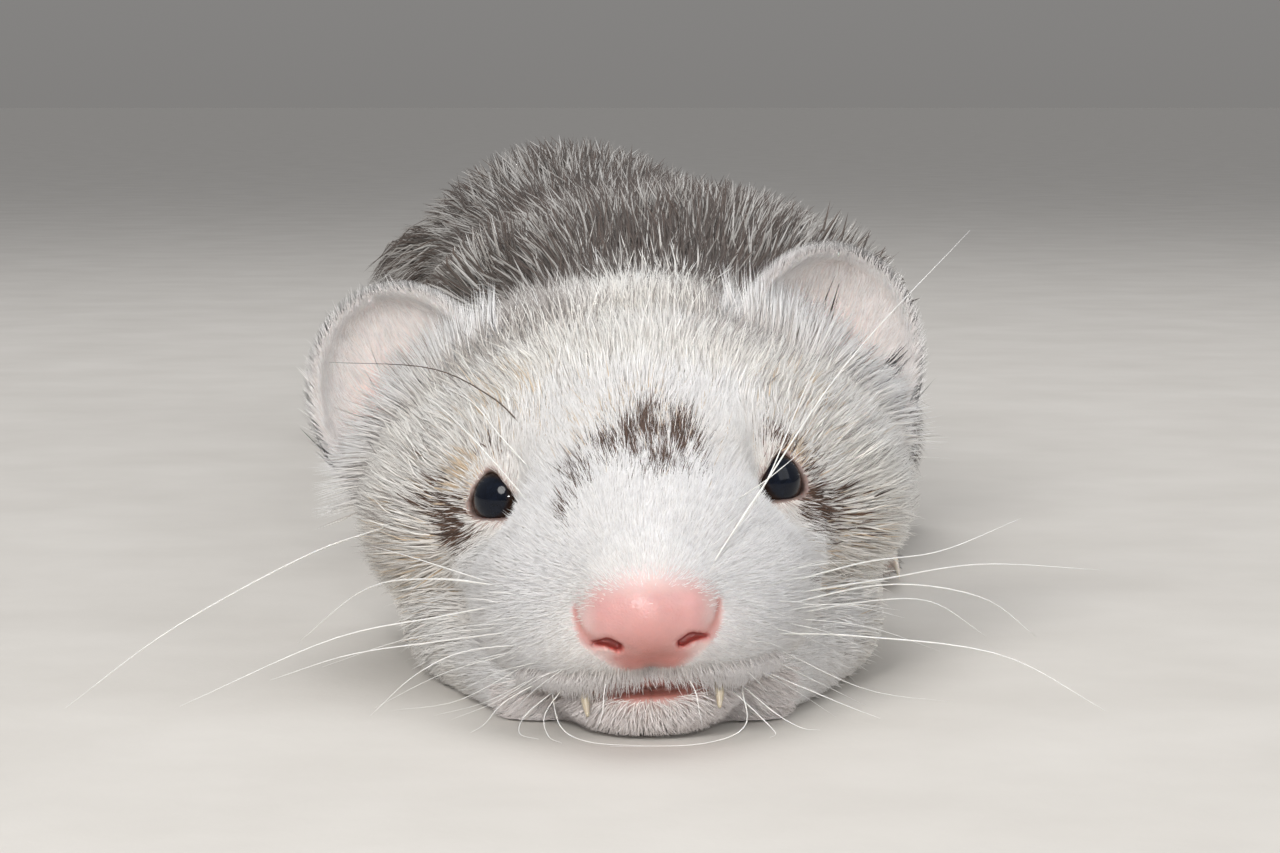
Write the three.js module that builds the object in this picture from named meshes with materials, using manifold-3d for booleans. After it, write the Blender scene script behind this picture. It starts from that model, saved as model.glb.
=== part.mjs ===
// A ferret lying flat on the floor with its chin down, looking straight ahead.
// Life size, in millimetres. +Z is up, the ferret faces -Y, and its right side is at -X.
// The surfaces below are drawn out to the tips of the coat. Every part of the body is one
// solid of its own; neighbours keep a gap of 0.3 mm.
//
// The body is worked out first as a set of rounded forms that flow into one another
// (ellipsoids, tapered limbs and a trunk swept along the spine). Each solid is then a
// row of loops: rays leave the axis of the part, and each loop joins the points where
// the rays leave the form.

import * as THREE from 'three';
import * as BufferGeometryUtils from 'three/addons/utils/BufferGeometryUtils.js';
import Module from 'manifold-3d';

const wasm = await Module();
wasm.setup();

// ------------------------------------------------------------------ driving sizes, mm
const GAP = 0.3;                      // between neighbouring solids
const EYE_SPACING = 28.5;             // between the middles of the two eye openings
const HEAD_TURN = 1.0;                // degrees, to its left
const HEAD_TILT = 3.6;                // degrees, its left ear held higher
const HEAD_X = 1.1;                   // middle of the face
const HEAD_BACK = 46.0;               // behind the ears, where head meets neck
const NECK_BACK = 100.0;
const CHEST_BACK = 175.0;
const LOIN_BACK = 250.0;
const RUMP_BACK = 335.0;              // root of the tail
const TAIL_MIDDLE = 402.0;
const EYE_RADIUS = 3.9;
const EYE_CENTRE = [12.9, 1.9, 21.5]; // in the head's own frame, mirrored for the other eye
const EYE_GAZE = [0.56, -0.81, 0.16];
const EYE_OPENING = [6.2, 5.2];       // width and height between the lids
const FORE_MIDDLE = 2.5;              // x of the line between the forelegs
const HIND_MIDDLE = -7.0;             // the same for the hind legs, at y 250
const HIND_SLANT = 0.16;              // that line runs to the ferret's right going back
const WRIST_Y = 117.0;
const CLAW_FORE = 4.6;                // length of a foreclaw
const CLAW_HIND = 3.8;
const FLOOR_EDGE = 0.4;               // rounding where the coat meets the floor

// Spine and section of the trunk: place along the body, middle, half width, height of the
// back, height of the underside (below 0 it lies on the floor), squareness of the section.
const TRUNK = [
  [ 30, -1.0, 27.0, 38.5, -1.0, 2.2],
  [ 60,  0.0, 27.0, 40.5,  3.0, 2.2],
  [ 92,  2.5, 30.5, 44.0,  4.0, 2.4],
  [128,  4.0, 34.0, 49.5, -2.0, 2.8],
  [165,  3.5, 35.0, 51.0, -3.0, 2.8],
  [205,  0.0, 35.0, 50.0, -3.0, 2.4],
  [245, -6.5, 33.5, 52.5, -1.5, 2.05],
  [282, -13.0, 31.5, 55.0, -2.0, 2.0],
  [316, -18.5, 27.0, 48.0, -3.0, 2.0],
  [345, -21.5, 16.5, 32.0, -1.0, 2.0],
];
const TAIL_START = 322.0, TAIL_LENGTH = 156.0;

// Ears: centre, the way the cup faces, the way the tip points, half width, half height, depth.
const EARS = {
  r: { c: [-25.9, 29.5, 28.9], facing: [-0.22, -0.96, 0.12], up: [-0.30, 0.05, 0.95], r: [10.8, 12.3, 6.0] },
  l: { c: [ 20.8, 29.5, 33.0], facing: [ 0.40, -0.90, 0.12], up: [ 0.14, 0.05, 0.98], r: [11.4, 12.4, 6.0] },
};
const EAR_THICK = 2.4;

// ------------------------------------------------------------------ small vector helpers
const sub = (a, b) => [a[0] - b[0], a[1] - b[1], a[2] - b[2]];
const addTo = (a, b, k = 1) => [a[0] + k * b[0], a[1] + k * b[1], a[2] + k * b[2]];
const dot = (a, b) => a[0] * b[0] + a[1] * b[1] + a[2] * b[2];
const cross = (a, b) => [a[1] * b[2] - a[2] * b[1], a[2] * b[0] - a[0] * b[2], a[0] * b[1] - a[1] * b[0]];
const len = a => Math.hypot(a[0], a[1], a[2]);
const unit = a => { const l = len(a); return [a[0] / l, a[1] / l, a[2] / l]; };
const clamp = (x, a, b) => Math.min(Math.max(x, a), b);
const rad = THREE.MathUtils.degToRad;

// ------------------------------------------------------------------ forms
// Each form gives the distance from a point to its surface, below 0 inside.
const ellipsoid = (p, c, r) => {
  const q = [(p[0] - c[0]) / r[0], (p[1] - c[1]) / r[1], (p[2] - c[2]) / r[2]];
  const k0 = len(q) + 1e-9, k1 = Math.hypot(q[0] / r[0], q[1] / r[1], q[2] / r[2]) + 1e-9;
  return k0 * (k0 - 1) / k1;
};
const ball = (p, c, r) => len(sub(p, c)) - r;
const limb = (p, a, b, ra, rb) => {                    // round at both ends, tapered
  const ab = sub(b, a), t = clamp(dot(sub(p, a), ab) / dot(ab, ab), 0, 1);
  return len(sub(p, addTo(a, ab, t))) - (ra + (rb - ra) * t);
};
const melt = (a, b, k) => {                            // joins two forms with a soft hollow k wide
  const h = clamp(0.5 + 0.5 * (b - a) / k, 0, 1);
  return b + (a - b) * h - k * h * (1 - h);
};
const meet = (a, b, k) => -melt(-a, -b, k);            // keeps what both hold, edge rounded by k
const mirror = h => [Math.abs(h[0]), h[1], h[2]];

// The head's own frame, from the turn and the tilt.
const cy = Math.cos(rad(HEAD_TURN)), sy = Math.sin(rad(HEAD_TURN));
const cr = Math.cos(rad(HEAD_TILT)), sr = Math.sin(rad(HEAD_TILT));
const HEAD_AXES = [[cy * cr, sy * cr, sr], [-sy, cy, 0], [-cy * sr, -sy * sr, cr]];
const toHead = p => { const q = [p[0] - HEAD_X, p[1], p[2]]; return HEAD_AXES.map(a => dot(a, q)); };
const fromHead = h => [
  HEAD_X + HEAD_AXES[0][0] * h[0] + HEAD_AXES[1][0] * h[1] + HEAD_AXES[2][0] * h[2],
  HEAD_AXES[0][1] * h[0] + HEAD_AXES[1][1] * h[1] + HEAD_AXES[2][1] * h[2],
  HEAD_AXES[0][2] * h[0] + HEAD_AXES[1][2] * h[1] + HEAD_AXES[2][2] * h[2]];

const gaze = unit(EYE_GAZE);
const ORBIT = addTo(EYE_CENTRE, gaze, 8.0);
function skull(h) {
  const m = mirror(h);
  let d = ellipsoid(h, [0, 27, 20.5], [26, 33, 19.8]);                    // cranium
  d = melt(d, ellipsoid(h, [0, 4, 16.5], [15, 24, 12.5]), 8);             // face
  d = melt(d, ellipsoid(m, [17, 25, 17.5], [13, 19, 12]), 7);         // chewing muscle
  d = melt(d, ellipsoid(m, [19.3, 42, 18], [11.2, 17, 13.5]), 8);           // jowl
  d = melt(d, limb(h, [0, -21, 14.2], [0, 4, 20.5], 6.6, 10.5), 5);       // bridge of the nose
  d = melt(d, ellipsoid(m, [5.4, -17, 10.4], [6, 8, 5.4]), 5);            // whisker pads
  d = melt(d, ellipsoid(m, [8.8, -4, 11.5], [8.4, 14, 8]), 8);            // side of the muzzle
  d = meet(d, -ball(m, ORBIT, 5), 3);                                     // hollow round the eye
  return melt(d, ball(m, EYE_CENTRE, EYE_RADIUS + 0.7), 2);               // lids
}
function chin(h) {
  const p = fromHead(h), m = [Math.abs(p[0] - 0.2), p[1], p[2]];          // lies flat on the floor
  let d = ellipsoid(h, [0, -16.4, 3.5], [7.5, 6.8, 3.7]);
  d = melt(d, limb(m, [10, -8, 3.2], [17.2, 16, 6.8], 4.7, 8.4), 3);      // edge of the jaw
  return melt(d, ellipsoid(h, [0, 14, 3.5], [17, 26, 7]), 6);
}
function noseForm(h) {
  const d = ellipsoid(h, [0, -24.3, 13], [5, 5, 4.4]);
  return melt(d, ellipsoid(mirror(h), [3.8, -23.4, 12.6], [2.9, 4.2, 3.5]), 2);
}

// A smooth curve through the stations of the trunk.
const slopes = TRUNK.map((s, i) => {
  const a = TRUNK[Math.max(i - 1, 0)], b = TRUNK[Math.min(i + 1, TRUNK.length - 1)];
  if (i === 0 || i === TRUNK.length - 1) return s.map((v, c) => (b[c] - a[c]) / (b[0] - a[0]));
  const hs = s[0] - a[0], hd = b[0] - s[0];            // parabola through three stations
  return s.map((v, c) => (hs * hs * b[c] + (hd * hd - hs * hs) * v - hd * hd * a[c]) / (hs * hd * (hd + hs)));
});
function station(y) {
  let i = 0;
  while (i < TRUNK.length - 2 && TRUNK[i + 1][0] < y) i++;
  const h = TRUNK[i + 1][0] - TRUNK[i][0], t = clamp((y - TRUNK[i][0]) / h, 0, 1), t2 = t * t, t3 = t2 * t;
  return [1, 2, 3, 4, 5].map(c => (2 * t3 - 3 * t2 + 1) * TRUNK[i][c] + (t3 - 2 * t2 + t) * h * slopes[i][c]
    + (-2 * t3 + 3 * t2) * TRUNK[i + 1][c] + (t3 - t2) * h * slopes[i + 1][c]);
}
function trunkForm(p) {
  const [xc, a, top, under, n] = station(p[1]);
  const b = (top - under) / 2, zc = (top + under) / 2;
  const low = clamp((zc - p[2]) / b, -1, 1);           // a soft body spreads a little on the floor
  const aa = a * (1 + 0.05 * low);
  const k = (Math.abs((p[0] - xc) / aa) ** n + Math.abs((p[2] - zc) / b) ** n + 1e-9) ** (1 / n);
  let d = (k - 1) * Math.min(aa, b);
  d = meet(d, TRUNK[0][0] - p[1], 10);
  return meet(d, p[1] - TRUNK.at(-1)[0], 12);
}
const tailX = u => -19.5 - 20 * u - 10 * u * u;
const tailR = u => (13.2 - 3.4 * u) * Math.max(1 - u ** 5, 0) ** 0.55;
const tailZ = u => Math.max(tailR(u) - 0.8, 0) + 5 * clamp(1 - 4 * u, 0, 1) ** 2;
function tailForm(p) {
  const u = clamp((p[1] - TAIL_START) / TAIL_LENGTH, 0, 1);
  const slope = -(20 + 20 * u) / TAIL_LENGTH;
  const dx = (p[0] - tailX(u)) / Math.sqrt(1 + slope * slope);
  const over = Math.abs(p[1] - (TAIL_START + u * TAIL_LENGTH));
  return Math.hypot(dx, p[2] - tailZ(u), over) - tailR(u);
}
const onFloor = (d, p) => meet(d, -p[2], FLOOR_EDGE);
function bodyForm(p) {                                 // head, trunk and tail as one flowing form
  const h = toHead(p);
  let d = melt(skull(h), chin(h), 2.5);
  d = melt(d, trunkForm(p), 8);
  d = melt(d, tailForm(p), 8);
  return onFloor(d, p);
}

// Legs, drawn for the left side with x measured from the line between the legs.
const foreForm = q => limb(q, [28.5, 150, 12], [25, 112, 8.2], 8.6, 7);
const forePawForm = q => melt(limb(q, [25, 122, 8.4], [22.6, 97, 5.4], 7, 6.2), ellipsoid(q, [22.8, 95, 4.6], [8.2, 9, 5.2]), 2);
function thighForm(q) {
  let d = ellipsoid(q, [20.5, 290, 20], [16.5, 31, 20.5]);                // thigh
  d = melt(d, limb(q, [23, 288, 18], [26.5, 262, 13.5], 13, 9.5), 6);     // knee
  return melt(d, limb(q, [27, 268, 11], [24, 310, 9.5], 8.5, 6.5), 4);    // shank
}
const hindFootForm = q => melt(limb(q, [25.5, 312, 6.8], [30.5, 262, 5.2], 7, 6.4), ellipsoid(q, [31, 255, 4.6], [8.2, 10, 5.2]), 2);

// Five toes: root and tip of the middle toe, half spread, radii.
const FORE_TOES = { root: [22.5, 92, 4.3], tip: [22.0, 84, 3.2], spread: 6.2, r: [3.1, 2.7] };
const HIND_TOES = { root: [31, 251, 4.3], tip: [31.4, 241, 3.2], spread: 6.2, r: [3.2, 2.8] };
function toe(set, i) {
  const f = (i - 2) / 2, back = 3.2 * f * f + (f < 0 ? 1.6 : 0.6) * Math.abs(f);   // the inner toe sits furthest back
  return {
    a: [set.root[0] + f * set.spread * 0.72, set.root[1] + back * 0.4, set.root[2]],
    b: [set.tip[0] + f * set.spread, set.tip[1] + back, set.tip[2]],
  };
}

// ------------------------------------------------------------------ loops and solids
// Where a ray that starts inside a form leaves it.
function leave(form, o, d, grow = 0, reach = 80) {
  let t = 0;
  for (let i = 0; i < 400 && t < reach; i++) {
    const v = form(addTo(o, d, t)) - grow;
    if (v > 0) break;
    t += Math.max(-v * 0.7, 0.04);
  }
  let lo = Math.max(t - 2.5, 0), hi = t;
  while (form(addTo(o, d, lo)) - grow > 0 && lo > 0) lo = Math.max(lo - 1, 0);
  for (let i = 0; i < 26; i++) {
    const m = (lo + hi) / 2;
    if (form(addTo(o, d, m)) - grow > 0) hi = m; else lo = m;
  }
  return addTo(o, d, lo);
}
const level = p => [p[0], p[1], Math.abs(p[2]) < 0.02 ? 0 : p[2]];

// A skin over a row of loops with the same number of points; ends are a point or close flat.
function skinLoops(loops) {
  const n = loops[0].length, v = [], tri = [];
  for (const l of loops) v.push(...l);
  for (let i = 0; i + 1 < loops.length; i++) for (let j = 0; j < n; j++) {
    const a = i * n + j, b = i * n + (j + 1) % n, c = a + n, d = b + n;
    // the shorter diagonal
    if (len(sub(v[a], v[d])) < len(sub(v[b], v[c]))) tri.push([a, b, d], [a, d, c]);
    else tri.push([a, b, c], [b, d, c]);
  }
  const cap = (k, flip, tip) => {
    let m = tip;
    if (!m) { m = [0, 0, 0]; for (let j = 0; j < n; j++) m = addTo(m, v[k * n + j], 1 / n); }
    const id = v.length; v.push(m);
    for (let j = 0; j < n; j++) {
      const a = k * n + j, b = k * n + (j + 1) % n;
      tri.push(flip ? [a, b, id] : [b, a, id]);
    }
  };
  cap(0, false, loops.startTip); cap(loops.length - 1, true, loops.endTip);
  return solid(v, tri);
}
function volumeOf(v, tri) {
  let s = 0;
  for (const [a, b, c] of tri) s += dot(v[a], cross(v[b], v[c]));
  return s / 6;
}
function solid(v, tri) {
  if (volumeOf(v, tri) < 0) tri = tri.map(([a, b, c]) => [a, c, b]);
  const g = new THREE.BufferGeometry();
  g.setAttribute('position', new THREE.Float32BufferAttribute(v.flat(), 3));
  g.setIndex(tri.flat());
  return toManifold(g);
}
function toManifold(geometry) {
  let g = geometry.clone();
  g.deleteAttribute('normal'); g.deleteAttribute('uv');
  g = BufferGeometryUtils.mergeVertices(g, 1e-5);
  const keep = [], ix = g.index.array;
  for (let i = 0; i < ix.length; i += 3) if (ix[i] !== ix[i + 1] && ix[i + 1] !== ix[i + 2] && ix[i] !== ix[i + 2]) keep.push(ix[i], ix[i + 1], ix[i + 2]);
  const mesh = new wasm.Mesh({ numProp: 3, vertProperties: new Float32Array(g.attributes.position.array), triVerts: new Uint32Array(keep) });
  return new wasm.Manifold(mesh);
}

// Takes n points from a closed loop, evenly by its length and closer together where it bends.
const BEND = 3.5;                     // mm of length that a bend of one radian counts for
function evenly(loop, n) {
  const m = loop.length, w = [0];
  for (let i = 0; i < m; i++) {
    const a = loop[(i + m - 1) % m], b = loop[i], c = loop[(i + 1) % m], e = sub(b, a), f = sub(c, b);
    const turn = len(e) > 1e-6 && len(f) > 1e-6 ? Math.acos(clamp(dot(unit(e), unit(f)), -1, 1)) : 0;
    w.push(w[i] + len(f) + BEND * Math.min(turn, 0.8));
  }
  const out = [];
  for (let k = 0, i = 0; k < n; k++) {
    const want = w[m] * k / n;
    while (w[i + 1] < want) i++;
    const t = (want - w[i]) / (w[i + 1] - w[i]);
    out.push(addTo(loop[i], sub(loop[(i + 1) % m], loop[i]), t));
  }
  return out;
}

// Loops across the y axis: one at each place in ys, rays leaving the axis point at(y).
// squash is how much flatter than a circle the rays are spread, so that a wide, low
// section gets even points. front and back add loops that close in to a point.
function alongY(form, { ys, at, segments, squash = 1, front = 0, back = 0, grow = 0 }) {
  const loops = [];
  const ray = (o, th, tilt) => {
    const c = Math.cos(th), s = Math.sin(th) * squash, l = Math.hypot(c, s), k = Math.cos(tilt);
    return level(leave(form, o, [c / l * k, Math.sin(tilt), s / l * k], grow));
  };
  const fine = segments * 6;
  const loop = (o, tilt) => evenly(Array.from({ length: fine }, (_, j) => ray(o, Math.PI / 2 + j / fine * 2 * Math.PI, tilt)), segments);
  const first = ys[0], last = ys.at(-1);
  for (let i = front; i > 0; i--) loops.push(loop([...at(first)], -Math.PI / 2 * i / (front + 1)));
  for (const y of ys) loops.push(loop(at(y), 0));
  for (let i = 1; i <= back; i++) loops.push(loop([...at(last)], Math.PI / 2 * i / (back + 1)));
  if (front) loops.startTip = level(leave(form, at(first), [0, -1, 0], grow));
  if (back) loops.endTip = level(leave(form, at(last), [0, 1, 0], grow));
  return skinLoops(loops);
}
const steps = (a, b, n) => Array.from({ length: n + 1 }, (_, i) => a + (b - a) * i / n);

// A round form worked out from one inner point, with its poles on the axis 'pole'.
function aroundPoint(form, o, pole, segments, rings, grow = 0) {
  const w = unit(pole), u = unit(cross(Math.abs(w[2]) > 0.9 ? [1, 0, 0] : [0, 0, 1], w)), s = cross(w, u);
  const loops = [];
  for (let i = 1; i < rings; i++) {
    const a = Math.PI * i / rings;
    loops.push(Array.from({ length: segments }, (_, j) => {
      const th = j / segments * 2 * Math.PI;
      return leave(form, o, unit([0, 1, 2].map(k => w[k] * Math.cos(a) + (u[k] * Math.cos(th) + s[k] * Math.sin(th)) * Math.sin(a))), grow, 40);
    }));
  }
  loops.startTip = leave(form, o, w, grow, 40);
  loops.endTip = leave(form, o, w.map(c => -c), grow, 40);
  return skinLoops(loops);
}

// A tapered tube with an elliptical section between two points.
function tube(a, b, ra, rb, up, segments) {
  const w = unit(sub(b, a)), side = unit(cross(up, w)), top = cross(w, side);
  const loop = (c, r) => Array.from({ length: segments }, (_, j) => {
    const th = j / segments * 2 * Math.PI;
    return addTo(addTo(c, side, r[0] * Math.cos(th)), top, r[1] * Math.sin(th));
  });
  return skinLoops([loop(a, ra), loop(b, rb)]);
}
function block(lo, hi) {
  return toManifold(new THREE.BoxGeometry(hi[0] - lo[0], hi[1] - lo[1], hi[2] - lo[2])
    .translate((lo[0] + hi[0]) / 2, (lo[1] + hi[1]) / 2, (lo[2] + hi[2]) / 2));
}

// The biggest connected body of a cut solid, as vertices and triangles.
function biggest(m) {
  const mesh = m.getMesh(), np = mesh.numProp, vp = mesh.vertProperties, tv = mesh.triVerts;
  const key = new Map(), id = [], v = [];
  for (let i = 0; i < vp.length / np; i++) {
    const p = [vp[i * np], vp[i * np + 1], vp[i * np + 2]], k = p.map(c => c.toFixed(5)).join();
    if (!key.has(k)) { key.set(k, v.length); v.push(p); }
    id.push(key.get(k));
  }
  const parent = v.map((_, i) => i);
  const find = i => { while (parent[i] !== i) i = parent[i] = parent[parent[i]]; return i; };
  const tri = [];
  for (let i = 0; i < tv.length; i += 3) {
    const t = [id[tv[i]], id[tv[i + 1]], id[tv[i + 2]]];
    if (t[0] === t[1] || t[1] === t[2] || t[0] === t[2]) continue;
    tri.push(t); parent[find(t[0])] = find(t[1]); parent[find(t[1])] = find(t[2]);
  }
  const groups = new Map();
  for (const t of tri) { const g = find(t[0]); if (!groups.has(g)) groups.set(g, []); groups.get(g).push(t); }
  let best = null, bv = 0;
  for (const g of groups.values()) { const vol = volumeOf(v, g); if (vol > bv) { bv = vol; best = g; } }
  return { v, tri: best };
}
const model = new THREE.Group();
function addPart(name, m, material) {
  const { v, tri } = biggest(m);
  const used = new Map(), pos = [], ix = [];
  for (const t of tri) for (const i of t) {
    if (!used.has(i)) { used.set(i, used.size); pos.push(...v[i]); }
    ix.push(used.get(i));
  }
  const g = new THREE.BufferGeometry();
  g.setAttribute('position', new THREE.Float32BufferAttribute(pos, 3));
  g.setIndex(ix);
  g.computeVertexNormals();
  const mesh = new THREE.Mesh(g, material);
  mesh.name = name;
  model.add(mesh);
  return mesh;
}

// ------------------------------------------------------------------ colours
const paint = (color, roughness, metalness = 0) => new THREE.MeshStandardMaterial({ color, roughness, metalness });
const COAT_WHITE = paint('#e8e4dc', 0.85), COAT_ROAN = paint('#8b857f', 0.88), COAT_BROWN = paint('#57504a', 0.9);
const EAR_PINK = paint('#e3c8bc', 0.7), NOSE_PINK = paint('#e6a7a0', 0.4), EYE_BLACK = paint('#10131a', 0.05);
const TOOTH = paint('#ece0bf', 0.25), CLAW = paint('#cfc4b4', 0.4);

// ------------------------------------------------------------------ head
const headAt = y => [HEAD_X + 0.2, y, 9 + clamp(y + 10, 0, 42) * 0.2];
const headYs = [46, 41, 36, 31.5, 27, 22.5, 18, 14, 10.5, 7, 3.8, 0.6, -2.8, -6.4, -10].reverse();
const headShape = { ys: headYs, at: headAt, segments: 32, squash: 0.85, front: 6 };
const headWhole = alongY(bodyForm, headShape);
const headGrown = alongY(bodyForm, { ...headShape, grow: GAP });

// The jaws part along a sloping surface from the lips to below the eyes.
const lipZ = y => 4.3 + 0.13 * (y + 22);
function jawBlock(grow) {
  const y0 = -45, y1 = 12 + grow, side = (x, y, z) => [x, y, z];
  const v = [], x0 = -45, x1 = 45;
  for (const x of [x0, x1]) v.push(side(x, y0, -6), side(x, y1, -6), side(x, y1, lipZ(12) + grow), side(x, y0, lipZ(y0) + grow));
  return solid(v, [[0, 1, 2], [0, 2, 3], [4, 6, 5], [4, 7, 6], [0, 4, 5], [0, 5, 1], [1, 5, 6], [1, 6, 2], [2, 6, 7], [2, 7, 3], [3, 7, 4], [3, 4, 0]]);
}
const egg = (c, r, segments = 12, rings = 6) => aroundPoint(p => ellipsoid(toHead(p), c, r), fromHead(c), [0, -1, 0], segments, rings);
const mouthGap = egg([0, -22.6, 4.35], [6.0, 4.2, 0.95], 12, 5);
const noseForms = p => noseForm(toHead(p));
const noseAt = fromHead([0, -24, 13]);
const noseWhole = aroundPoint(noseForms, noseAt, [0, -1, 0], 13, 7);
const noseRoom = aroundPoint(noseForms, noseAt, [0, -1, 0], 13, 7, GAP);
const canine = (s, grow) => tube(fromHead([6.2 * s, -20.2, 7.0 + grow]), fromHead([6.4 * s, -22.3, 2.2 - grow]), [1.0 + grow, 1.15 + grow], [0.3 + grow, 0.3 + grow], [0, 1, 0], 6);

function eyeParts(s) {
  const c = fromHead([EYE_CENTRE[0] * s, EYE_CENTRE[1], EYE_CENTRE[2]]);
  const tip = fromHead([(EYE_CENTRE[0] + gaze[0]) * s, EYE_CENTRE[1] + gaze[1], EYE_CENTRE[2] + gaze[2]]);
  const g = unit(sub(tip, c)), up = unit(addTo([0, 0, 1], g, -g[2]));
  const whole = aroundPoint(p => ball(p, c, EYE_RADIUS), c, g, 12, 7);
  const room = aroundPoint(p => ball(p, c, EYE_RADIUS + GAP), c, g, 12, 6);
  const [w, h] = EYE_OPENING;
  const opening = tube(addTo(c, g, 1.4), addTo(c, g, 6.0), [w * 0.40, h * 0.40], [w * 0.66, h * 0.68], up, 14);
  return { whole, room, opening };
}
const eyes = { r: eyeParts(-1), l: eyeParts(1) };

let head = headWhole.subtract(jawBlock(GAP)).subtract(mouthGap).subtract(noseRoom);
for (const s of ['r', 'l']) head = head.subtract(eyes[s].room).subtract(eyes[s].opening);
for (const s of [-1, 1]) head = head.subtract(canine(s, GAP));
addPart('head', head, COAT_WHITE);

let jaw = headWhole.intersect(jawBlock(0)).subtract(mouthGap);
for (const s of [-1, 1]) jaw = jaw.subtract(canine(s, GAP));
addPart('lower_jaw', jaw, COAT_WHITE);

let nose = noseWhole;
for (const s of [-1, 1]) {
  nose = nose.subtract(aroundPoint(p => ellipsoid(toHead(p), [3.75 * s, -27.6, 10.5], [1.35, 2.4, 0.95]), fromHead([3.75 * s, -27.6, 10.5]), [0, -1, 0], 7, 4));
  nose = nose.subtract(aroundPoint(p => ellipsoid(toHead(p), [5.3 * s, -26.4, 10.9], [1.6, 1.7, 0.55]), fromHead([5.3 * s, -26.4, 10.9]), [0, -1, 0], 7, 4));
}
addPart('nose', nose, NOSE_PINK);
addPart('eye_r', eyes.r.whole, EYE_BLACK);
addPart('eye_l', eyes.l.whole, EYE_BLACK);
addPart('canine_r', canine(-1, 0), TOOTH);
addPart('canine_l', canine(1, 0), TOOTH);

// Ears: half of a flat egg, hollowed from the front.
function ear(e) {
  const n = unit(e.facing), up = unit(addTo(e.up, n, -dot(e.up, n))), w = cross(up, n);
  const place = q => [0, 1, 2].map(k => e.c[k] + w[k] * q[0] + up[k] * q[1] + n[k] * q[2]);
  const seg = 16, loops = [];
  const ring = (inset, a, shift = 0) => Array.from({ length: seg }, (_, j) => {
    const th = j / seg * 2 * Math.PI, r = e.r.map(c => c - inset);
    return place([r[0] * Math.sin(a) * Math.cos(th), r[1] * Math.sin(a) * Math.sin(th), -r[2] * Math.cos(a) + shift]);
  });
  for (const a of [20, 40, 58, 75, 90]) loops.push(ring(0, rad(a)));
  loops.push(ring(EAR_THICK / 2 - 0.5, rad(90), 0.6), ring(EAR_THICK / 2 + 0.5, rad(90), 0.6));
  for (const a of [90, 72, 52, 30]) loops.push(ring(EAR_THICK, rad(a)));
  loops.startTip = place([0, 0, -e.r[2]]);
  loops.endTip = place([0, 0, -(e.r[2] - EAR_THICK)]);
  return skinLoops(loops);
}
addPart('ear_r', ear(EARS.r).subtract(headGrown), EAR_PINK);
addPart('ear_l', ear(EARS.l).subtract(headGrown), EAR_PINK);

// ------------------------------------------------------------------ neck, trunk and tail
const trunkAt = y => { const [xc, a, top, under] = station(y); return [xc, y, (top + Math.max(under, 0)) / 2 * 0.9]; };
const bodyPiece = (y0, y1, n, grow = 0) => alongY(bodyForm, { ys: steps(y0, y1, n), at: trunkAt, segments: 24, squash: 0.75, grow });
const neckAt = y => y < 60 ? [0.6, y, 17.5] : trunkAt(y);
const neckYs = [HEAD_BACK + GAP, 52, 59, 68, 78, 89, NECK_BACK];
addPart('neck', alongY(bodyForm, { ys: neckYs, at: neckAt, segments: 26, squash: 0.8 }), COAT_WHITE);
addPart('chest', bodyPiece(NECK_BACK + GAP, CHEST_BACK, 6), COAT_ROAN);
addPart('loin', bodyPiece(CHEST_BACK + GAP, LOIN_BACK, 5), COAT_ROAN);
addPart('rump', bodyPiece(LOIN_BACK + GAP, RUMP_BACK, 7), COAT_ROAN);
const tailAt = y => { const u = (y - TAIL_START) / TAIL_LENGTH; return [tailX(u), y, Math.max(tailR(u) * 0.9, 1)]; };
addPart('tail_root', alongY(bodyForm, { ys: steps(RUMP_BACK + GAP, TAIL_MIDDLE, 6), at: tailAt, segments: 18 }), COAT_BROWN);
addPart('tail_tip', alongY(bodyForm, { ys: steps(TAIL_MIDDLE + GAP, 466, 5), at: tailAt, segments: 14, back: 2 }), COAT_BROWN);

// The trunk a gap larger, for cutting the legs to it.
const trunkGrown = alongY(bodyForm, { ys: [20, 34, 46, 55, 65, ...steps(75, 345, 22)], at: y => y < 60 ? [0.6, y, 17.5] : trunkAt(y), segments: 24, squash: 0.75, grow: GAP });
const underFloor = block([-120, 20, -30], [120, 420, 0]);

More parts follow.
